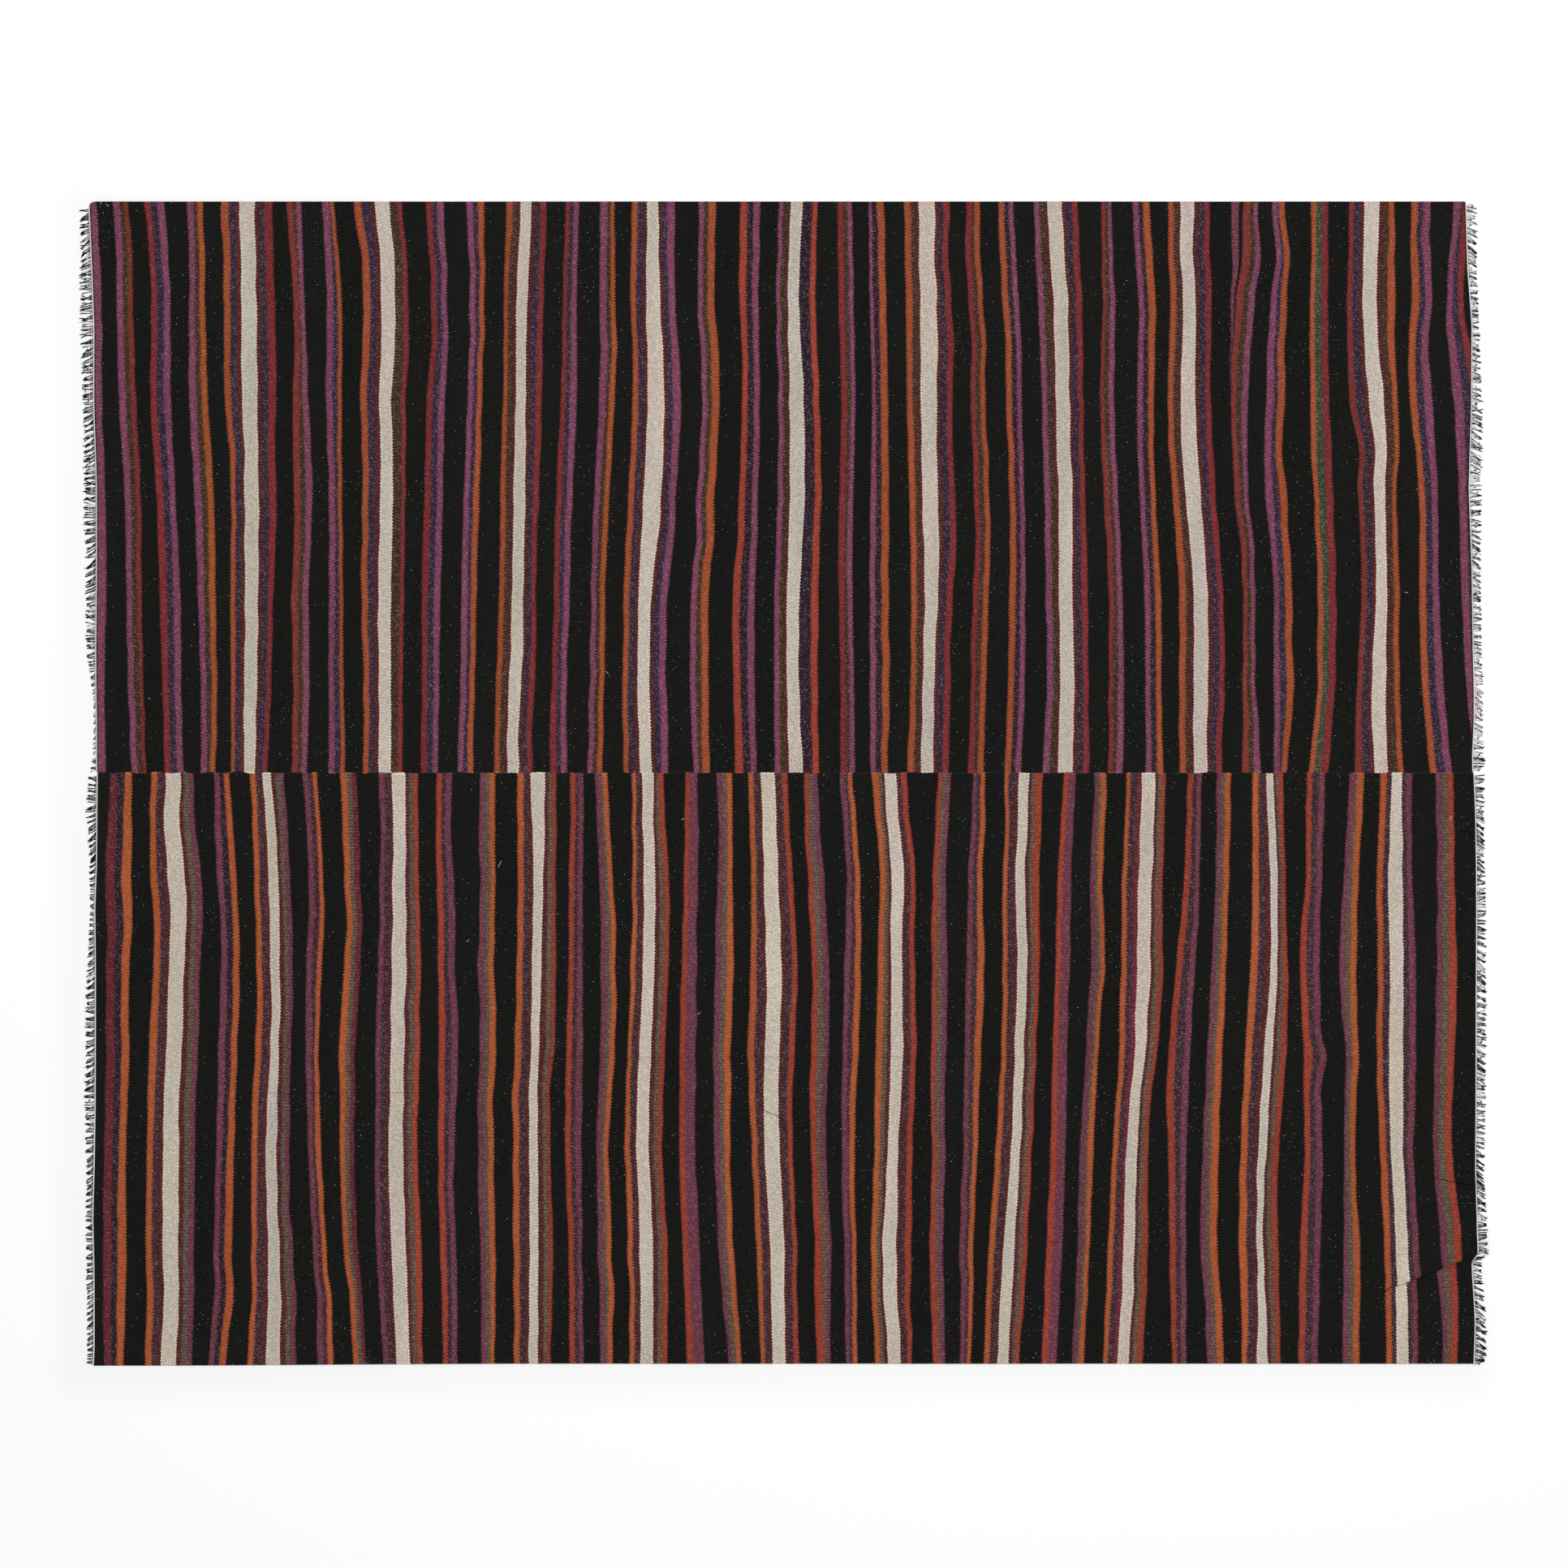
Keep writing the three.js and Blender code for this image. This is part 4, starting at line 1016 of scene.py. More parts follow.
def lay_cloth(name, net, plan, yarns, seed):
    points = net_arrays(net)
    rows, columns = points.shape[:2]
    both_sides = np.concatenate([side.reshape(-1, 3) for side in sheet_points(points)])
    faces = sheet_faces(rows, columns)
    mesh = bpy.data.meshes.new(name)
    mesh.from_pydata((both_sides * MM).tolist(), [],
                     [[(side * rows + r) * columns + c for side, r, c in corners] for _, _, corners in faces])

    stripe_yarns = ["black", *yarns, "black"]
    dyed = dye(stripe_yarns, seed)
    stripe_of = [stripe for stripe, _ in plan]
    first = [stripe_of.index(i) for i in range(len(stripe_yarns))] + [columns - 1]
    edge_x = points[:, first, 0]
    neighbours = [neighbours_of(bounds) for bounds in edge_x]
    colours = {"own_yarn": [], "left_yarn": [], "right_yarn": []}
    makes, shares, lefts, rights = [], [], [], []
    for row, column, corners in faces:
        stripe = stripe_of[column]
        beside = [here.get(stripe, below.get(stripe, stripe))
                  for here, below in zip(neighbours[row], neighbours[row + 1])]
        for kept, shown in zip(colours.values(), (stripe, *beside)):
            kept += [*dyed[shown], 1]
        makes += MAKES.get(stripe_yarns[stripe], PLAIN_MAKE)
        on_top = not any(side for side, _, _ in corners)
        patch = max(LEAST_LINT, 1 + wave_sum(LINT_WAVES, *points[row, column, :2])) if on_top else 0.0
        shares.append(float(patch) * (1.0 if stripe_yarns[stripe] == "black" else LINT_ON_COLOURS))
        for _, r, c in corners:
            lefts.append((points[r, c, 0] - edge_x[r, stripe]) * MM)
            rights.append((edge_x[r, stripe + 1] - points[r, c, 0]) * MM)

    for label, values in colours.items():
        store(mesh, label, "FLOAT_COLOR", "FACE", values)
    store(mesh, "yarn_make", "FLOAT_VECTOR", "FACE", makes)
    store(mesh, "lint_share", "FLOAT", "FACE", shares)
    store(mesh, "from_left", "FLOAT", "CORNER", lefts)
    store(mesh, "from_right", "FLOAT", "CORNER", rights)
    x, y, _ = np.concatenate([points.reshape(-1, 3)] * 2).T
    store(mesh, "dye_tint", "FLOAT_VECTOR", "POINT", dye_tint(x, y).ravel())
    store(mesh, "rib_drift", "FLOAT", "POINT", RIB_DRIFT * MM * wave_sum(DRIFT_WAVES, x, y))

    work = bmesh.new()
    work.from_mesh(mesh)
    bmesh.ops.remove_doubles(work, verts=work.verts, dist=LEAST_WIDTH * MM)
    work.to_mesh(mesh)
    work.free()
    mesh.shade_smooth()
    return link_piece(name, mesh)


upper_cloth = lay_cloth("upper_panel_cloth", UPPER_NET, UPPER_PLAN, UPPER_YARNS, 3)
lower_cloth = lay_cloth("lower_panel_cloth", LOWER_NET, LOWER_PLAN, LOWER_YARNS, 8)

# %% [markdown]
# ## One function for every node
# Shader trees and Geometry Nodes trees are built the same way: add a node, give it its settings, and
# link or set its inputs. One small function does all three, and the kinds that come often have a short
# form of it that returns the socket.

# %% Node helpers
def add(tree, kind, inputs=None, **settings):
    node = tree.nodes.new(kind)
    for name, value in settings.items():
        setattr(node, name, value)
    for key, value in (inputs or {}).items():
        if isinstance(value, bpy.types.NodeSocket):
            tree.links.new(value, node.inputs[key])
        else:
            node.inputs[key].default_value = value
    return node


def maths(tree, operation, *values):
    return add(tree, "ShaderNodeMath", dict(enumerate(values)), operation=operation).outputs[0]


def vectors(tree, operation, *values):
    return add(tree, "ShaderNodeVectorMath", dict(enumerate(values)), operation=operation).outputs


def scaled(tree, vector, factor):
    return add(tree, "ShaderNodeVectorMath", {0: vector, 3: factor}, operation="SCALE").outputs[0]


def ranged(tree, value, before, after, ease="LINEAR"):
    """A value carried from one range into another, where it is held between the ends."""
    inputs = {0: value, 1: before[0], 2: before[1], 3: after[0], 4: after[1]}
    return add(tree, "ShaderNodeMapRange", inputs, interpolation_type=ease).outputs[0]


def blended(tree, share, one, other, way="MIX"):
    return add(tree, "ShaderNodeMix", {0: share, 6: one, 7: other},
               data_type="RGBA", blend_type=way).outputs[2]


def stored(tree, name, output="Fac"):
    return add(tree, "ShaderNodeAttribute", attribute_name=name).outputs[output]


def noise(tree, place, size, detail):
    """Soft noise from 0 to 1, with lumps of about the given size."""
    return add(tree, "ShaderNodeTexNoise", {"Vector": place, "Scale": 1 / size, "Detail": detail}).outputs[0]


def new_material(name):
    material = bpy.data.materials.new(name)
    material.use_nodes = True
    material.node_tree.nodes.clear()
    return material, material.node_tree


def finish_surface(tree, colour, roughness, shine, **more):
    inputs = {"Base Color": colour, "Roughness": roughness, "Specular IOR Level": shine, **more}
    surface = add(tree, "ShaderNodeBsdfPrincipled", inputs)
    add(tree, "ShaderNodeOutputMaterial", {"Surface": surface.outputs[0]})


def colour4(code):
    return (*linear(code), 1.0)


print("node helpers ready")

# %% [markdown]
# ## The weave
# In a weft-faced weave the warps are hidden. They show as fine ribs along the rug, 2.85 mm apart, and each
# weft goes over every second rib. So a stripe's edge is toothed in steps of two ribs, and the face is
# a slanting brickwork of small grains with painted shade in the gaps between them. Pressed creases hold a
# thin dark line of painted shade, charted in millimetres, and the wefts turn back at the seam in a row of
# paler beads.

# %% Weave material
WARP_PITCH = 2.85 * MM
TOOTH = 0.85 * MM
TOOTH_SOFTNESS = 0.35 * MM
EDGE_WANDER = 0.7 * MM
WANDER_SIZE = 9 * MM
NOISE_REACH = (0.3, 0.7)
FUZZ_REACH = 3.4 * MM
FUZZ_SHARE = 0.36
GRAIN_LENGTH = 1.7 * MM
GRAIN_SLANT = 0.55
GRAIN_SHADES = (0.68, 1.07)
# Painted shade in the narrow gaps between grains, where shade falls between the yarns.
GAP_WIDTH = 0.14 * MM
GAP_SOFTNESS = 0.7
GAP_PAINTED_SHADE = (0.25, 0.25, 0.25, 1)
PALE_GRAINS_FROM = 0.72
SPECK_LIGHT = (0.14, 0.115, 0.125)
CLUMP_SIZE = 4 * MM
CLUMP_SHADES = (0.88, 1.1)
RIM_FADE = (0.6 * MM, 3.0 * MM)
RIM_LIGHT = (0.14, 0.09, 0.085)
BEAD_REACH = 2.4 * MM
BEAD_LIGHT = 0.4
BUMP_STRENGTH = 0.5
BUMP_DEPTH = 0.35 * MM
WOOL_IOR = 1.54
# Painted shade: thin dark lines along the pressed creases and where the tuck begins, where shade falls in the
# folds.
CREASE_SPREAD = 1.4
CREASE_SHADOW_LINES = (
    {"start": (1205, -729), "end": (1243, -738), "width": 3.0, "dark": 0.8},
    {"start": (1243, -738), "end": (1277, -742), "width": 3.4, "dark": 0.85},
    {"start": (-37, -604), "end": (-12, -614), "width": 3.2, "dark": 0.6},
    {"start": (-12, -614), "end": (66, -659), "width": 3.0, "dark": 0.3},
    {"start": (-610, -505), "end": (1072, -505), "width": 3.0, "dark": 0.22},
    {"start": (-999, -571), "end": (-608, -571), "width": 3.4, "dark": 0.26},
    {"start": (1108, -940), "end": (1123, -930), "width": 3.2, "dark": 0.85},
)


def painted_crease_shade(tree, x, y):
    """Painted shade along the crease lines: one minus its darkness where they are near."""
    flat_place = add(tree, "ShaderNodeCombineXYZ", {"X": x, "Y": y}).outputs[0]
    light = 1.0
    for line in CREASE_SHADOW_LINES:
        start = np.array([*line["start"], 0.0]) * MM
        run = np.array([*line["end"], 0.0]) * MM - start
        length = float(np.linalg.norm(run))
        ahead = tuple(run / length)
        away = vectors(tree, "SUBTRACT", flat_place, tuple(start))[0]
        along = vectors(tree, "DOT_PRODUCT", away, ahead)["Value"]
        held = add(tree, "ShaderNodeClamp", {"Value": along, "Min": 0.0, "Max": length}).outputs[0]
        offset = vectors(tree, "DISTANCE", away, scaled(tree, ahead, held))["Value"]
        reach = line["width"] / 2 * MM * CREASE_SPREAD
        dark = ranged(tree, offset, (0.0, reach), (1 - line["dark"], 1.0), "SMOOTHSTEP")
        light = maths(tree, "MULTIPLY", dark, light)
    return light


def toothed_colour(tree, reach, rim):
    """The stripe's own yarn with its neighbours' teeth in it, and their dark fuzz near its edges."""
    sides = [(stored(tree, "from_left"), stored(tree, "left_yarn", "Color"), reach),
             (stored(tree, "from_right"), stored(tree, "right_yarn", "Color"),
              maths(tree, "MULTIPLY", reach, -1.0))]
    colour = stored(tree, "own_yarn", "Color")
    for distance, neighbour, tooth_reach in sides:
        over = maths(tree, "SUBTRACT", tooth_reach, distance)
        cut = ranged(tree, over, (-TOOTH_SOFTNESS, TOOTH_SOFTNESS), (0.0, 1.0), "SMOOTHSTEP")
        colour = blended(tree, cut, colour, neighbour)
    unrimmed = maths(tree, "SUBTRACT", 1.0, rim)
    for distance, neighbour, _ in sides:
        fuzz = ranged(tree, distance, (0.0, FUZZ_REACH), (FUZZ_SHARE, 0.0), "SMOOTHSTEP")
        colour = blended(tree, maths(tree, "MULTIPLY", fuzz, unrimmed), colour, neighbour, "DARKEN")
    return colour


def grain_bricks(tree, x, across_ribs):
    """The slanting brickwork of grains, each in a random shade of grey, with painted shade in the gaps
    between them.
    """
    slant = maths(tree, "MULTIPLY_ADD", across_ribs, GRAIN_SLANT, x)
    place = add(tree, "ShaderNodeCombineXYZ", {"X": slant, "Y": across_ribs}).outputs[0]
    return add(tree, "ShaderNodeTexBrick",
               {"Vector": place, "Color1": (0, 0, 0, 1), "Color2": (1, 1, 1, 1), "Mortar": GAP_PAINTED_SHADE,
                "Scale": 1.0, "Mortar Size": GAP_WIDTH, "Mortar Smooth": GAP_SOFTNESS, "Bias": 0.0,
                "Brick Width": GRAIN_LENGTH, "Row Height": WARP_PITCH},
               offset=0.5, offset_frequency=2).outputs


def weave(name):
    """Matt hand-spun wool, weft-faced."""
    material, tree = new_material(name)
    place = add(tree, "ShaderNodeTexCoord").outputs["Object"]
    x, y, _ = add(tree, "ShaderNodeSeparateXYZ", {0: place}).outputs
    make = stored(tree, "yarn_make", "Vector")
    heather, pick, rim = add(tree, "ShaderNodeSeparateXYZ", {0: make}).outputs
    across_ribs = maths(tree, "ADD", y, stored(tree, "rib_drift"))
    tooth = maths(tree, "SINE", maths(tree, "MULTIPLY", across_ribs, math.pi / WARP_PITCH))
    crisp = ranged(tree, tooth, (-0.5, 0.5), (-TOOTH, TOOTH))
    wander = ranged(tree, noise(tree, place, WANDER_SIZE, 1.0), NOISE_REACH,
                    (-EDGE_WANDER / 2, EDGE_WANDER / 2))
    colour = toothed_colour(tree, maths(tree, "ADD", crisp, wander), rim)

    grains = grain_bricks(tree, x, across_ribs)
    # The grains' random tones, with painted shade in the gaps between them.
    grain = ranged(tree, grains["Color"], (0.0, 1.0), GRAIN_SHADES)
    turn_shade = maths(tree, "ADD", maths(tree, "MULTIPLY", tooth, pick), 1.0)
    clump = ranged(tree, noise(tree, place, CLUMP_SIZE, 2.0), NOISE_REACH, CLUMP_SHADES)
    to_seam = maths(tree, "COMPARE", y, SEAM_Y * MM, BEAD_REACH)
    bead = maths(tree, "MULTIPLY_ADD", to_seam, BEAD_LIGHT, 1.0)
    # Painted crease shade, multiplied into the yarn colour with the grains' tones.
    shade = painted_crease_shade(tree, x, y)
    for factor in (clump, grain, turn_shade, bead):
        shade = maths(tree, "MULTIPLY", shade, factor)
    tinted = vectors(tree, "MULTIPLY", colour, stored(tree, "dye_tint", "Vector"))[0]
    shaded = scaled(tree, tinted, shade)

    pale_grain = ranged(tree, grains["Color"], (PALE_GRAINS_FROM, 1.0), (0.0, 1.0))
    specks = scaled(tree, SPECK_LIGHT, maths(tree, "MULTIPLY", pale_grain, heather))
    nearest = maths(tree, "MINIMUM", stored(tree, "from_left"), stored(tree, "from_right"))
    at_rim = ranged(tree, nearest, RIM_FADE, (1.0, 0.0))
    rim_glow = scaled(tree, RIM_LIGHT, maths(tree, "MULTIPLY", at_rim, rim))
    final = vectors(tree, "ADD", vectors(tree, "ADD", shaded, specks)[0], rim_glow)[0]

    gap_depth = maths(tree, "SUBTRACT", 1.0, grains["Fac"])
    height = maths(tree, "ADD", maths(tree, "ABSOLUTE", tooth), gap_depth)
    bump = add(tree, "ShaderNodeBump", {"Strength": BUMP_STRENGTH, "Distance": BUMP_DEPTH, "Height": height})
    finish_surface(tree, final, 0.92, 0.06, IOR=WOOL_IOR, Normal=bump.outputs[0])
    return material


UPPER_WEAVE = weave("wool_weft_faced_upper")
LOWER_WEAVE = weave("wool_weft_faced_lower")
upper_cloth.data.materials.append(UPPER_WEAVE)
lower_cloth.data.materials.append(LOWER_WEAVE)
print("weave materials:", UPPER_WEAVE.name, LOWER_WEAVE.name)

# %% [markdown]
# ## Twisted yarn
# Warp yarn is two plies wound round each other. A ply is a thin tube along a route, and two plies share
# one route half a turn apart. The routes are in millimetres, and each ply keeps how dark it is.

# %% Plies and tubes
PLY_SIDES = 4


def frames_along(route):
    ahead = np.gradient(route, axis=0)
    ahead /= np.linalg.norm(ahead, axis=1)[:, None]
    side = np.cross(ahead, (0, 0, 1))
    side /= np.linalg.norm(side, axis=1)[:, None]
    return side, np.cross(side, ahead)


def two_plies(route, ply_radius, pitch):
    steps = np.linalg.norm(np.diff(route, axis=0), axis=1)
    turn = 2 * math.pi * np.concatenate([[0], np.cumsum(steps)]) / pitch
    side, up = frames_along(route)
    offset = ply_radius * (np.cos(turn)[:, None] * side + np.sin(turn)[:, None] * up)
    return route + offset, route - offset


def tube(route, radius):
    side, up = frames_along(route)
    around = [2 * math.pi * k / PLY_SIDES for k in range(PLY_SIDES)]
    rings = np.stack([route + radius * (math.cos(a) * side + math.sin(a) * up) for a in around], axis=1)
    n, m = len(route), PLY_SIDES
    faces = [(i * m + k, i * m + (k + 1) % m, (i + 1) * m + (k + 1) % m, (i + 1) * m + k)
             for i in range(n - 1) for k in range(m)]
    faces += [tuple(reversed(range(m))), tuple(range((n - 1) * m, n * m))]
    return rings.reshape(-1, 3), faces


def yarn_mesh(name, plies):
    """One mesh of several tubes. Each ply is (route, radius, how dark)."""
    vertices, faces, darkness = [], [], []
    for route, radius, dark in plies:
        ring, quads = tube(route, radius)
        start = len(vertices)
        vertices += [tuple(v * MM) for v in ring]
        faces += [tuple(start + i for i in quad) for quad in quads]
        darkness += list(np.repeat(np.broadcast_to(dark, len(route)), PLY_SIDES))
    mesh = bpy.data.meshes.new(name)
    mesh.from_pydata(vertices, [], faces)
    store(mesh, "dark", "FLOAT", "POINT", darkness)
    mesh.shade_smooth()
    return mesh


def collect(name, meshes):
    """A collection of shapes for Geometry Nodes to pick from."""
    shapes = bpy.data.collections.new(name)
    bpy.context.scene.collection.children.link(shapes)
    for mesh in meshes:
        shapes.objects.link(bpy.data.objects.new(mesh.name, mesh))
    return shapes


# %% [markdown]
# ## Shapes of a cut end
# A cut warp end springs back into the crimp that it had in the weave. Each shape is 10 mm long and lies
# along x from its root. Its heading bends evenly, swings in waves and curls up towards the tip. Some
# warps are pale and some dark, and the pale ones darken towards their tips.

# %% Strand shapes
STRAND_LENGTH = 10
STRAND_POINTS = 9
END_PLY_RADIUS = 0.5
END_PLY_PITCH = 5.2
CURL_FROM = 0.35
STRAND_ARCH = 0.5
STRAND_RISE = 0.35
TIP_FROM = 0.45
TIP_RUN = 0.4
PALE_STRANDS = (
    {"name": "end_a_pale", "bend": 0.2, "waves": 1, "swing": 0.25, "curl": 0, "dark": (0, 0.1), "tip": 0.2},
    {"name": "end_b_pale", "bend": -0.3, "waves": 2, "swing": 0.4, "curl": 0.3, "dark": (0, 0.5), "tip": 0.9},
    {"name": "end_c_pale", "bend": 0.3, "waves": 1, "swing": 0.3, "curl": 1.4, "dark": (0, 0.15), "tip": 0.5},
    {"name": "end_d_pale", "bend": -0.3, "waves": 1.5, "swing": 0.5, "curl": -3, "dark": (0, 0.5), "tip": 1},
)
DARK_STRANDS = (
    {"name": "end_e_dark", "bend": 0.2, "waves": 1.5, "swing": 0.3, "curl": -0.4, "dark": (1, 0.6), "tip": 1},
    {"name": "end_f_dark", "bend": -0.3, "waves": 1, "swing": 0.4, "curl": 1.2, "dark": (1, 0.8), "tip": 0.6},
    {"name": "end_g_dark", "bend": 0.1, "waves": 1, "swing": 0.2, "curl": 0.2, "dark": (1, 1), "tip": 0},
)


def strand_route(shape, count=STRAND_POINTS, length=STRAND_LENGTH):
    """A route along x. A shape that doesn't say how often it swings does so once."""
    t = np.linspace(0, 1, count)
    heading = shape["bend"] * t + shape["swing"] * np.sin(2 * math.pi * shape.get("waves", 1) * t)
    heading = heading + shape["curl"] * smooth((t - CURL_FROM) / (1 - CURL_FROM))
    step = length / (count - 1)
    x = np.concatenate([[0], np.cumsum(np.cos(heading[:-1]))]) * step
    y = np.concatenate([[0], np.cumsum(np.sin(heading[:-1]))]) * step
    z = STRAND_ARCH * np.sin(math.pi * t) + STRAND_RISE * t
    return np.stack([x, y, z], axis=1)


def strand_mesh(shape):
    one, other = two_plies(strand_route(shape), END_PLY_RADIUS, END_PLY_PITCH)
    tip = shape["tip"] * smooth((np.linspace(0, 1, STRAND_POINTS) - TIP_FROM) / TIP_RUN)
    plies = [(route, END_PLY_RADIUS, np.minimum(1, dark + tip))
             for route, dark in zip((one, other), shape["dark"])]
    return yarn_mesh(shape["name"], plies)


STRAND_SHAPES = collect("warp_end_shapes", [strand_mesh(shape) for shape in PALE_STRANDS + DARK_STRANDS])

# %% [markdown]
# ## Setting shapes out
# One Geometry Nodes tree sets shapes on points that carry the number of their shape, their turn and their
# size. Another strews shapes over a cloth by chance, from a fixed seed. Both end as plain mesh.

# %% Geometry Nodes trees
LINT_SIZES = (0.5, 1.3)
SHAPE_DRAWS = 64.0


def new_tree(name, inputs):
    tree = bpy.data.node_groups.new(name, "GeometryNodeTree")
    tree.interface.new_socket("Geometry", in_out="INPUT", socket_type="NodeSocketGeometry")
    for label, kind in inputs:
        tree.interface.new_socket(label, in_out="INPUT", socket_type=kind)
    tree.interface.new_socket("Geometry", in_out="OUTPUT", socket_type="NodeSocketGeometry")
    return tree, add(tree, "NodeGroupInput").outputs


def read(tree, name, kind):
    return add(tree, "GeometryNodeInputNamedAttribute", {"Name": name}, data_type=kind).outputs[0]


def chance(tree, low, high, seed, add_to_seed):
    own_seed = maths(tree, "ADD", seed, float(add_to_seed))
    return add(tree, "FunctionNodeRandomValue", {2: low, 3: high, 8: own_seed}, data_type="FLOAT").outputs[1]


def instance_and_finish(tree, given, points, number, turn, size):
    shapes = add(tree, "GeometryNodeCollectionInfo",
                 {"Collection": given["Shapes"], "Separate Children": True, "Reset Children": True})
    placed = add(tree, "GeometryNodeInstanceOnPoints",
                 {"Points": points, "Instance": shapes.outputs[0], "Pick Instance": True,
                  "Instance Index": number, "Rotation": turn, "Scale": size})
    tone = chance(tree, 0.0, 1.0, given["Seed"], 23)
    toned = add(tree, "GeometryNodeStoreNamedAttribute",
                {"Geometry": placed.outputs[0], "Name": "tone", "Value": tone},
                data_type="FLOAT", domain="INSTANCE")
    real = add(tree, "GeometryNodeRealizeInstances", {"Geometry": toned.outputs[0]})
    dressed = add(tree, "GeometryNodeSetMaterial",
                  {"Geometry": real.outputs[0], "Material": given["Material"]})
    add(tree, "NodeGroupOutput", {"Geometry": dressed.outputs[0]})


def set_out_tree():
    tree, given = new_tree("set_out_shapes", (("Shapes", "NodeSocketCollection"), ("Seed", "NodeSocketInt"),
                                              ("Material", "NodeSocketMaterial")))
    points = add(tree, "GeometryNodeMeshToPoints", {"Mesh": given["Geometry"]}).outputs[0]
    instance_and_finish(tree, given, points, read(tree, "shape", "INT"),
                        read(tree, "turn", "FLOAT_VECTOR"), read(tree, "size", "FLOAT_VECTOR"))
    return tree


def strew_tree():
    tree, given = new_tree("strew_shapes", (("Shapes", "NodeSocketCollection"), ("Seed", "NodeSocketInt"),
                                            ("Density", "NodeSocketFloat"),
                                            ("Material", "NodeSocketMaterial")))
    density = maths(tree, "MULTIPLY", read(tree, "lint_share", "FLOAT"), given["Density"])
    spots = add(tree, "GeometryNodeDistributePointsOnFaces",
                {"Mesh": given["Geometry"], "Density": density, "Seed": given["Seed"]})
    spin = add(tree, "ShaderNodeCombineXYZ", {"Z": chance(tree, 0.0, 2 * math.pi, given["Seed"], 3)})
    grow = chance(tree, *LINT_SIZES, given["Seed"], 7)
    pick = maths(tree, "FLOOR", chance(tree, 0.0, SHAPE_DRAWS, given["Seed"], 11))
    instance_and_finish(tree, given, spots.outputs["Points"], pick, spin.outputs[0], grow)
    return tree


def shape_points(name, places, numbers, turns, sizes):
    """A mesh of loose points for the first tree, in millimetres."""
    points = bpy.data.meshes.new(name + "_points")
    points.from_pydata([tuple(c * MM for c in place) for place in places], [], [])
    for label, values in (("turn", turns), ("size", sizes)):
        store(points, label, "FLOAT_VECTOR", "POINT", [v for value in values for v in value])
    store(points, "shape", "INT", "POINT", numbers)
    return points


def plain_mesh(name, source, tree, values):
    """Runs a tree on a mesh and returns the result as a plain mesh."""
    holder = bpy.data.objects.new(name + "_source", source)
    bpy.context.scene.collection.objects.link(holder)
    modifier = holder.modifiers.new(tree.name, "NODES")
    modifier.node_group = tree
    for item in tree.interface.items_tree:
        if item.in_out == "INPUT" and item.name in values:
            modifier[item.identifier] = values[item.name]
    evaluated = holder.evaluated_get(bpy.context.evaluated_depsgraph_get())
    mesh = bpy.data.meshes.new_from_object(evaluated)
    mesh.name = name
    bpy.data.objects.remove(holder)
    return mesh


SET_OUT = set_out_tree()
STREW = strew_tree()
print("trees:", SET_OUT.name, STREW.name)

# %% [markdown]
# ## Yarn materials
# The warps are ecru wool plied with dark wool, so cut ends look mottled. The same material serves the
# lint and the sewing thread, which only differ in how dark their yarn is.

# %% Yarn material
FLUFF_SIZE = 1.6 * MM
FLUFF_REACH = (0.35, 0.65)
FLUFF_SHADES = (0.86, 1.06)


def plied_wool(name, pale, pink, dark):
    material, tree = new_material(name)
    place = add(tree, "ShaderNodeTexCoord").outputs["Object"]
    uneven = ranged(tree, noise(tree, place, FLUFF_SIZE, 2.0), FLUFF_REACH, FLUFF_SHADES)
    ecru = blended(tree, stored(tree, "tone"), colour4(pale), colour4(pink))
    ply = blended(tree, stored(tree, "dark"), ecru, colour4(dark))
    finish_surface(tree, scaled(tree, ply, uneven), 0.9, 0.15)
    return material


WARP_WOOL = plied_wool("wool_warp_two_ply_ecru_and_dark", "#fbf9f6", "#e2deda", "#151413")
LINT_WOOL = plied_wool("wool_lint_pale", "#d4d2cc", "#8a8886", "#3a3937")
THREAD_WOOL = plied_wool("wool_sewing_thread_dark", "#2a2624", "#1d1a19", "#141313")
print("yarn materials:", WARP_WOOL.name, LINT_WOOL.name, THREAD_WOOL.name)

# %% [markdown]
# ## The ends of the rug
# A line of twining closes each end: two thick plies wound round each other along the cut. Outside it the
# warps come out as cut ends, three to six to a bunch, and many bunches lean together. They are longer or
# shorter as the end tables say, and slant a little downwards, more so on the right. Each fringe has its
# own share of dark ends.

# %% Twining and fringe
BAND_WIDTH = 3
TWINE_OUT = 0.42
TWINE_RADIUS = 0.7
TWINE_PITCH = 5.7
TWINE_STEP = 1.1
TWINE_Z = 1.9
TWINE_DARK = (0.0, 0.04)
ROOT_OUT = 0.7
ROOT_Z = 0.8
ROOT_HIDDEN = 1
END_PITCH = 2.85
END_MARGIN = 2
SHORTEST_END = 6
LENGTH_VARIES = (0.85, 1.1)
END_WIDTHS = (0.6, 1.2)
BUNCH = (3, 7)
LEAN = (0.3, 1.25)
LEAN_KEPT = 0.8
SLANT = {"left": 0.2, "right": 0.35}
SLANT_SWAY = 0.2
SPIN = 0.22
STEEPEST = 0.8
END_ROOM = 9
CORNER_SPARE = 0.2
SLANT_WAVES = waves(45, 5, 60, 260)
DARK_SHARES = {"upper_left": 0.9, "upper_right": 0.4, "lower_left": 0.95, "lower_right": 0.75}
FIRST_SEED = 21


def lift_at(x, y):
    """Height of the cloth's middle at the right end, where the tuck lifts it."""
    beside, height = EDGE_RAMP[::-1].T
    return float(np.interp(y - TUCK_END[1], beside, height, left=0)) if x > 0 else 0.0


def end_line(table, side, y):
    x = end_value(table, y, side) + SHIFT_X
    if side == "left":
        return x + corner_cut(table, y), -1
    if table is LOWER_ENDS:
        x = float(x + jog(x, y, shift_above if y > TUCK_END[1] else shift_below))
    return x, 1


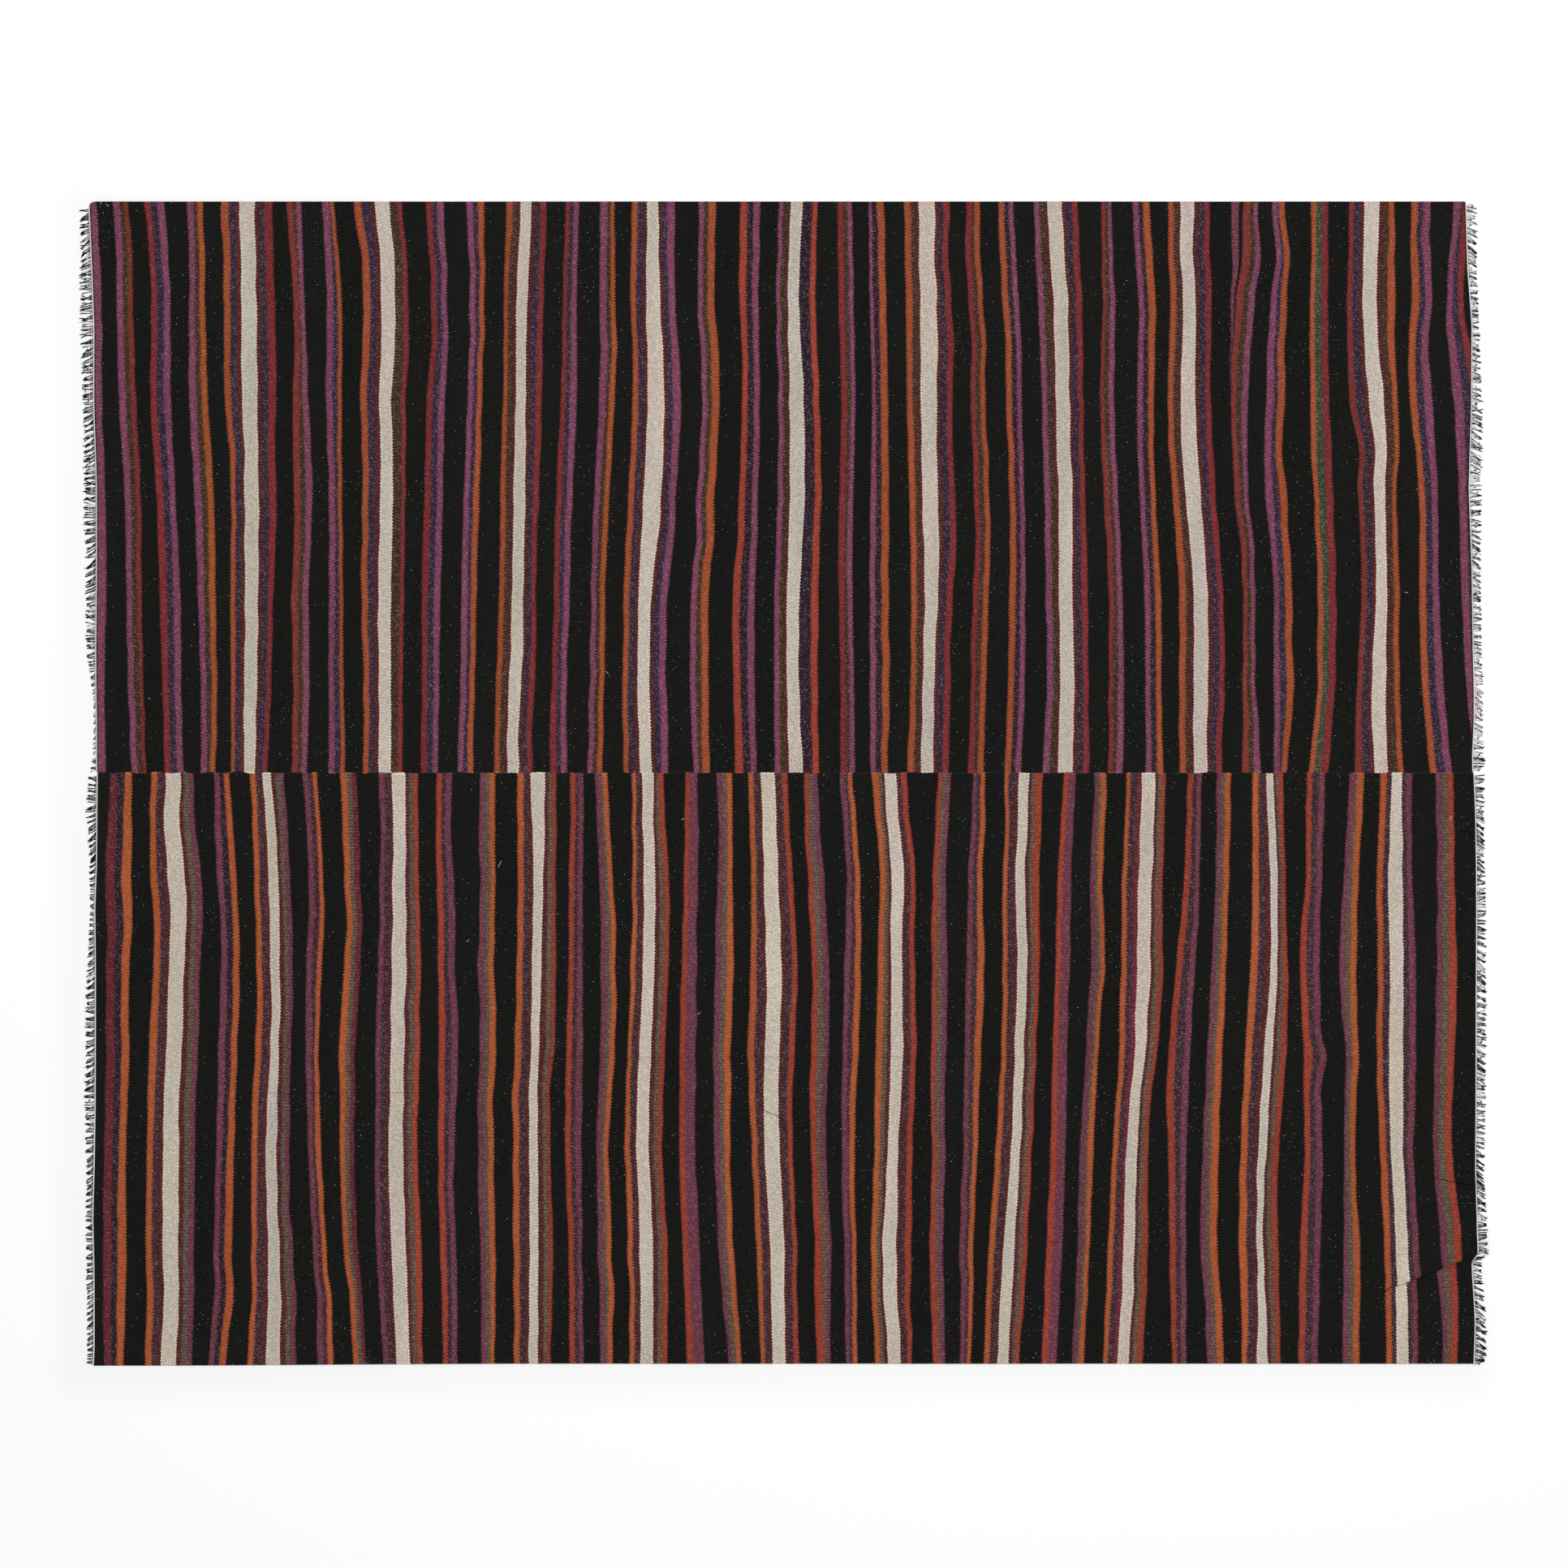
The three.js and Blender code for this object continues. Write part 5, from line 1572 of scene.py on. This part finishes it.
def twining(table, side):
    route = []
    for y in np.arange(table[-1, 0] + 1, table[0, 0] - 1, TWINE_STEP):
        x, outward = end_line(table, side, y)
        route.append((x + outward * BAND_WIDTH * TWINE_OUT, y, TWINE_Z + lift_at(x, y)))
    plies = two_plies(np.array(route), TWINE_RADIUS, TWINE_PITCH)
    return yarn_mesh("twining", [(ply, TWINE_RADIUS, dark) for ply, dark in zip(plies, TWINE_DARK)])


def bunches(count, dice):
    """For every strand: how far it leans towards the middle of its bunch, in strand steps."""
    leans = []
    while len(leans) < count:
        size = int(dice.integers(*BUNCH))
        lean = dice.uniform(*LEAN)
        leans += [lean * (i - (size - 1) / 2) for i in range(size)]
    return leans


def cut_ends(name, table, side, dark_share, seed):
    dice = np.random.default_rng(seed)
    top, bottom = table[0, 0] - END_MARGIN, table[-1, 0] + END_MARGIN
    if table is UPPER_ENDS and side == "left":
        top -= END_ROOM
    count = int((top - bottom) / END_PITCH)
    places, numbers, turns, sizes = [], [], [], []
    for k, lean in zip(range(count), bunches(count, dice)):
        y = bottom + (k + 0.5) * END_PITCH
        x, outward = end_line(table, side, y)
        reach = max(SHORTEST_END, float(end_value(table, y, side + "_fringe")))
        down = SLANT[side] + SLANT_SWAY * wave_sum(SLANT_WAVES, 0.0, y) + dice.uniform(-SPIN, SPIN)
        down = max(-STEEPEST, min(STEEPEST, down + lean * END_PITCH / reach))
        down = max(CORNER_SPARE - (top - y) / reach, min(down, (y - bottom) / reach - CORNER_SPARE))
        length = (reach - ROOT_HIDDEN) / STRAND_LENGTH * dice.uniform(*LENGTH_VARIES)
        length = length / math.cos(LEAN_KEPT * down)
        dark = dice.uniform() < dark_share
        first, choice = (len(PALE_STRANDS), len(DARK_STRANDS)) if dark else (0, len(PALE_STRANDS))
        places.append((x + outward * BAND_WIDTH * ROOT_OUT, y, ROOT_Z + lift_at(x, y)))
        numbers.append(first + int(dice.integers(choice)))
        turns.append((0, 0, -down if side == "right" else math.pi + down))
        sizes.append((length, min(END_WIDTHS[1], max(length, END_WIDTHS[0])), 1))
    points = shape_points(name, places, numbers, turns, sizes)
    return plain_mesh(name, points, SET_OUT, {"Shapes": STRAND_SHAPES, "Seed": seed, "Material": WARP_WOOL})


def make_fringe(name, table, side, dark_share, seed):
    band = twining(table, side)
    band.materials.append(WARP_WOOL)
    store(band, "tone", "FLOAT", "POINT", [0.0] * len(band.vertices))
    ends = cut_ends(name, table, side, dark_share, seed)
    joined = bmesh.new()
    joined.from_mesh(ends)
    joined.from_mesh(band)
    joined.to_mesh(ends)
    joined.free()
    return link_piece(name, ends)


fringes = {}
for seed, (place, dark_share) in enumerate(DARK_SHARES.items(), FIRST_SEED):
    panel, side = place.split("_")
    table = {"upper": UPPER_ENDS, "lower": LOWER_ENDS}[panel]
    fringes["fringe_" + place] = make_fringe("warp_ends_" + place, table, side, dark_share, seed)

# %% [markdown]
# ## The seam
# The panels are sewn edge to edge with small overcast stitches of dark wool, sunk so far into the weave
# that only a fine dark line is seen from above.

# %% Stitches
STITCH_PITCH = 7.5
STITCH_LENGTH = 4
STITCH_RADIUS = 0.32
STITCH_SPIN = 0.2
STITCH_POINTS = 7
STITCH_ARCH = 0.45
STITCH_DARK = 0.5
STITCH_LEANS = {"stitch_a": 1.4, "stitch_b": 2.2}
STITCH_SINK = 0.35
SEAM_INSET = 6
SEAM_SEED = 5


def stitch_mesh(name, lean):
    t = np.linspace(-0.5, 0.5, STITCH_POINTS)
    route = np.stack([lean * t, STITCH_LENGTH * t, STITCH_ARCH * np.cos(math.pi * t)], axis=1)
    return yarn_mesh(name, [(route, STITCH_RADIUS, STITCH_DARK)])


def sew_seam():
    dice = np.random.default_rng(SEAM_SEED)
    shapes = collect("stitch_shapes", [stitch_mesh(name, lean) for name, lean in STITCH_LEANS.items()])
    left, right = (end_value(LOWER_ENDS, SEAM_Y, side) for side in ("left", "right"))
    xs = np.arange(left + SEAM_INSET, right - SEAM_INSET, STITCH_PITCH)
    places = [(x, SEAM_Y, float(swell(x, SEAM_Y)) + THICKNESS - STITCH_SINK) for x in xs]
    numbers = [int(n) for n in dice.integers(2, size=len(xs))]
    turns = [(0, 0, dice.uniform(-STITCH_SPIN, STITCH_SPIN)) for _ in xs]
    points = shape_points("seam", places, numbers, turns, [(1, 1, 1)] * len(xs))
    mesh = plain_mesh("seam_stitches", points, SET_OUT,
                      {"Shapes": shapes, "Seed": SEAM_SEED, "Material": THREAD_WOOL})
    return link_piece("seam_stitches", mesh)


seam = sew_seam()

# %% [markdown]
# ## Lint
# Old wool catches pale fluff, and it shows most on the black. There are small specks, short bent fibres
# and a few longer stray threads, which are placed one by one.

# %% Lint and stray threads
LINT_PER_SQUARE_METRE = 2000.0
SPECK_POINTS = 3
FIBRE_POINTS = 6
STRAY_RADIUS = 0.28
STRAY_LIFT = 0.2
LINT = (
    {"name": "lint_a_speck", "bend": 0.5, "swing": 0.2, "curl": 1.5, "length": 1.1, "radius": 0.5},
    {"name": "lint_b_speck", "bend": 0.5, "swing": 0.2, "curl": 2.5, "length": 0.9, "radius": 0.38},
    {"name": "lint_c_speck", "bend": 0.9, "swing": 0.4, "curl": 3.5, "length": 1.3, "radius": 0.3},
    {"name": "lint_d_speck", "bend": 0.4, "swing": 0.3, "curl": 2.0, "length": 1.0, "radius": 0.26},
    {"name": "lint_e_speck", "bend": 0.6, "swing": 0.3, "curl": 1.0, "length": 1.4, "radius": 0.24},
    {"name": "lint_f_speck", "bend": 0.6, "swing": 0.3, "curl": 1.0, "length": 1.0, "radius": 0.3},
    {"name": "lint_g_fibre", "bend": 0.8, "swing": 0.5, "curl": 1.0, "length": 2.6, "radius": 0.11},
)
STRAY_THREADS = (
    {"x": -1261.0, "y": 1070, "heading": 1.5, "length": 6, "shape": 0},
    {"x": -1252.0, "y": 1071, "heading": -0.9, "length": 7, "shape": 0},
    {"x": 1233.0, "y": -69, "heading": 1.9, "length": 13, "shape": 3},
    {"x": 1147.0, "y": 354, "heading": -0.6, "length": 7, "shape": 2},
    {"x": -527.0, "y": -155, "heading": 1.2, "length": 14, "shape": 1},
    {"x": -586.0, "y": -292, "heading": 0.3, "length": 6, "shape": 2},
    {"x": -159.0, "y": -427, "heading": 0.8, "length": 7, "shape": 1},
    {"x": -324.0, "y": 203, "heading": 2.2, "length": 6, "shape": 0},
    {"x": -189.0, "y": -67, "heading": 0.2, "length": 6, "shape": 2},
    {"x": 209.0, "y": -112, "heading": 1.0, "length": 6, "shape": 1},
    {"x": 636.0, "y": -112, "heading": -0.4, "length": 6, "shape": 0},
    {"x": 1288.0, "y": -871, "heading": -0.3, "length": 9, "shape": 1},
)


def lint_mesh(shape):
    count = FIBRE_POINTS if shape["name"].endswith("fibre") else SPECK_POINTS
    route = strand_route(shape, count, shape["length"])
    return yarn_mesh(shape["name"], [(route, shape["radius"], 0.0)])


LINT_SHAPES = collect("lint_shapes", [lint_mesh(shape) for shape in LINT])


def strew_lint(name, cloth, seed):
    mesh = plain_mesh(name, cloth.data.copy(), STREW,
                      {"Shapes": LINT_SHAPES, "Seed": seed, "Density": LINT_PER_SQUARE_METRE,
                       "Material": LINT_WOOL})
    return link_piece(name, mesh)


def lay_strays():
    plies = []
    for stray in STRAY_THREADS:
        route = strand_route(PALE_STRANDS[stray["shape"]], STRAND_POINTS, stray["length"])
        c, s = math.cos(stray["heading"]), math.sin(stray["heading"])
        turned = route @ np.array([(c, s, 0), (-s, c, 0), (0, 0, 1)])
        x, y = stray["x"], stray["y"]
        above = THICKNESS + STRAY_LIFT + float(swell(x, y) + ridge_height(x, y)) + lift_at(x, y)
        plies.append((turned + np.array([x, y, above]), STRAY_RADIUS, 0.0))
    mesh = yarn_mesh("stray_threads", plies)
    mesh.materials.append(WARP_WOOL)
    return link_piece("stray_threads", mesh)


lint_upper = strew_lint("lint_upper", upper_cloth, 31)
lint_lower = strew_lint("lint_lower", lower_cloth, 32)
strays = lay_strays()
for shapes in [c for c in bpy.data.collections if c.name.endswith("_shapes")]:
    for shape in list(shapes.objects):
        bpy.data.objects.remove(shape)
    bpy.data.collections.remove(shapes)

# %% [markdown]
# ## The floor, the light and the camera
# The rug lies on a plain pale studio floor under wide soft lights overhead. A faint soft shadow round it,
# a little longer to the left and below, is painted into the floor's colour. The camera looks straight down
# through a long lens, so that the frame is 1932 photo pixels across at 1.5 mm each.

# %% Floor
FLOOR_SIDE = 60.0
FLOOR_WHITE = 0.985
# A faint soft shadow painted into the floor's colour round the rug.
SHADE_REACH = 0.085
SHADE_DEPTH = 0.06
SHADE_MIDDLE = (-0.022, -0.012)
RUG_HALF = (1.28, 1.075)


def painted_floor_shadow(tree, place):
    """A faint soft shadow painted into the floor's colour round the rug, deeper at its left and lower sides.
    """
    axes = add(tree, "ShaderNodeSeparateXYZ", {0: place}).outputs
    outside = []
    for along, middle, half in zip(axes, SHADE_MIDDLE, RUG_HALF):
        away = maths(tree, "ABSOLUTE", maths(tree, "SUBTRACT", along, middle))
        outside.append(maths(tree, "MAXIMUM", maths(tree, "SUBTRACT", away, half), 0.0))
    corner = add(tree, "ShaderNodeCombineXYZ", {"X": outside[0], "Y": outside[1]}).outputs[0]
    distance = vectors(tree, "LENGTH", corner)["Value"]
    return ranged(tree, distance, (0.0, SHADE_REACH), (FLOOR_WHITE - SHADE_DEPTH, FLOOR_WHITE), "SMOOTHSTEP")


def lay_floor():
    mesh = bpy.data.meshes.new("floor")
    half = FLOOR_SIDE / 2
    corners = [(-half, -half, 0), (half, -half, 0), (half, half, 0), (-half, half, 0)]
    mesh.from_pydata(corners, [], [(0, 1, 2, 3)])
    floor = bpy.data.objects.new("floor", mesh)
    bpy.context.scene.collection.objects.link(floor)
    material, tree = new_material("painted_studio_floor")
    place = add(tree, "ShaderNodeTexCoord").outputs["Object"]
    # The floor's colour carries the painted shadow.
    finish_surface(tree, painted_floor_shadow(tree, place), 0.8, 0.05)
    mesh.materials.append(material)
    return floor


floor = lay_floor()

# %% Lights and camera
LENS = 100
SENSOR = 36
FRAME_SIDE = PHOTO_SIDE * MM_PER_PIXEL * MM
CAMERA_HEIGHT = FRAME_SIDE / 2 / (SENSOR / 2 / LENS)
CLIP_END = 100
SKY_STRENGTH = 0.37
LIGHTS = (
    {"name": "soft_key", "place": (2.0, 2.6, 9.0), "size": 3.0, "power": 556},
    {"name": "soft_fill", "place": (-3.2, -2.2, 9.0), "size": 4.0, "power": 150},
)


def add_light(name, place, size, power):
    lamp = bpy.data.lights.new(name, "AREA")
    lamp.shape = "DISK"
    lamp.size = size
    lamp.energy = power
    light = bpy.data.objects.new(name, lamp)
    light.location = place
    towards = -light.location
    light.rotation_euler = towards.to_track_quat("-Z", "Y").to_euler()
    bpy.context.scene.collection.objects.link(light)


for light in LIGHTS:
    add_light(**light)
world = bpy.data.worlds.new("studio")
bpy.context.scene.world = world
world.use_nodes = True
sky = world.node_tree.nodes["Background"].inputs
sky["Color"].default_value = (1, 1, 1, 1)
sky["Strength"].default_value = SKY_STRENGTH

camera = bpy.data.objects.new("camera", bpy.data.cameras.new("camera"))
camera.data.lens = LENS
camera.data.sensor_width = SENSOR
camera.data.clip_end = CLIP_END
camera.location = (SHIFT_X * MM, (PHOTO_MIDDLE_Y - PHOTO_SIDE / 2) * MM_PER_PIXEL * MM, CAMERA_HEIGHT)
bpy.context.scene.collection.objects.link(camera)
bpy.context.scene.camera = camera
bpy.context.scene.view_settings.view_transform = "Standard"
print(f"camera {CAMERA_HEIGHT:.2f} m up")

# %% [markdown]
# ## Riding on the body
# Each cloth stands for its panel's solid and rides on the rug's only body. The fringes stand for theirs, and
# the seam and the lint only ride along.

for cloth, node, slot, flat in (
    (upper_cloth, "panel_upper", "upper_weave", (2.557, 1.055)),
    (lower_cloth, "panel_lower", "lower_weave", (2.558, 1.120)),
):
    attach(cloth, "root")
    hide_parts(node)

for node, fringe in fringes.items():
    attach(fringe, "root")
    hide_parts(node)
for small in (seam, lint_upper, lint_lower, strays):
    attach(small, "root")
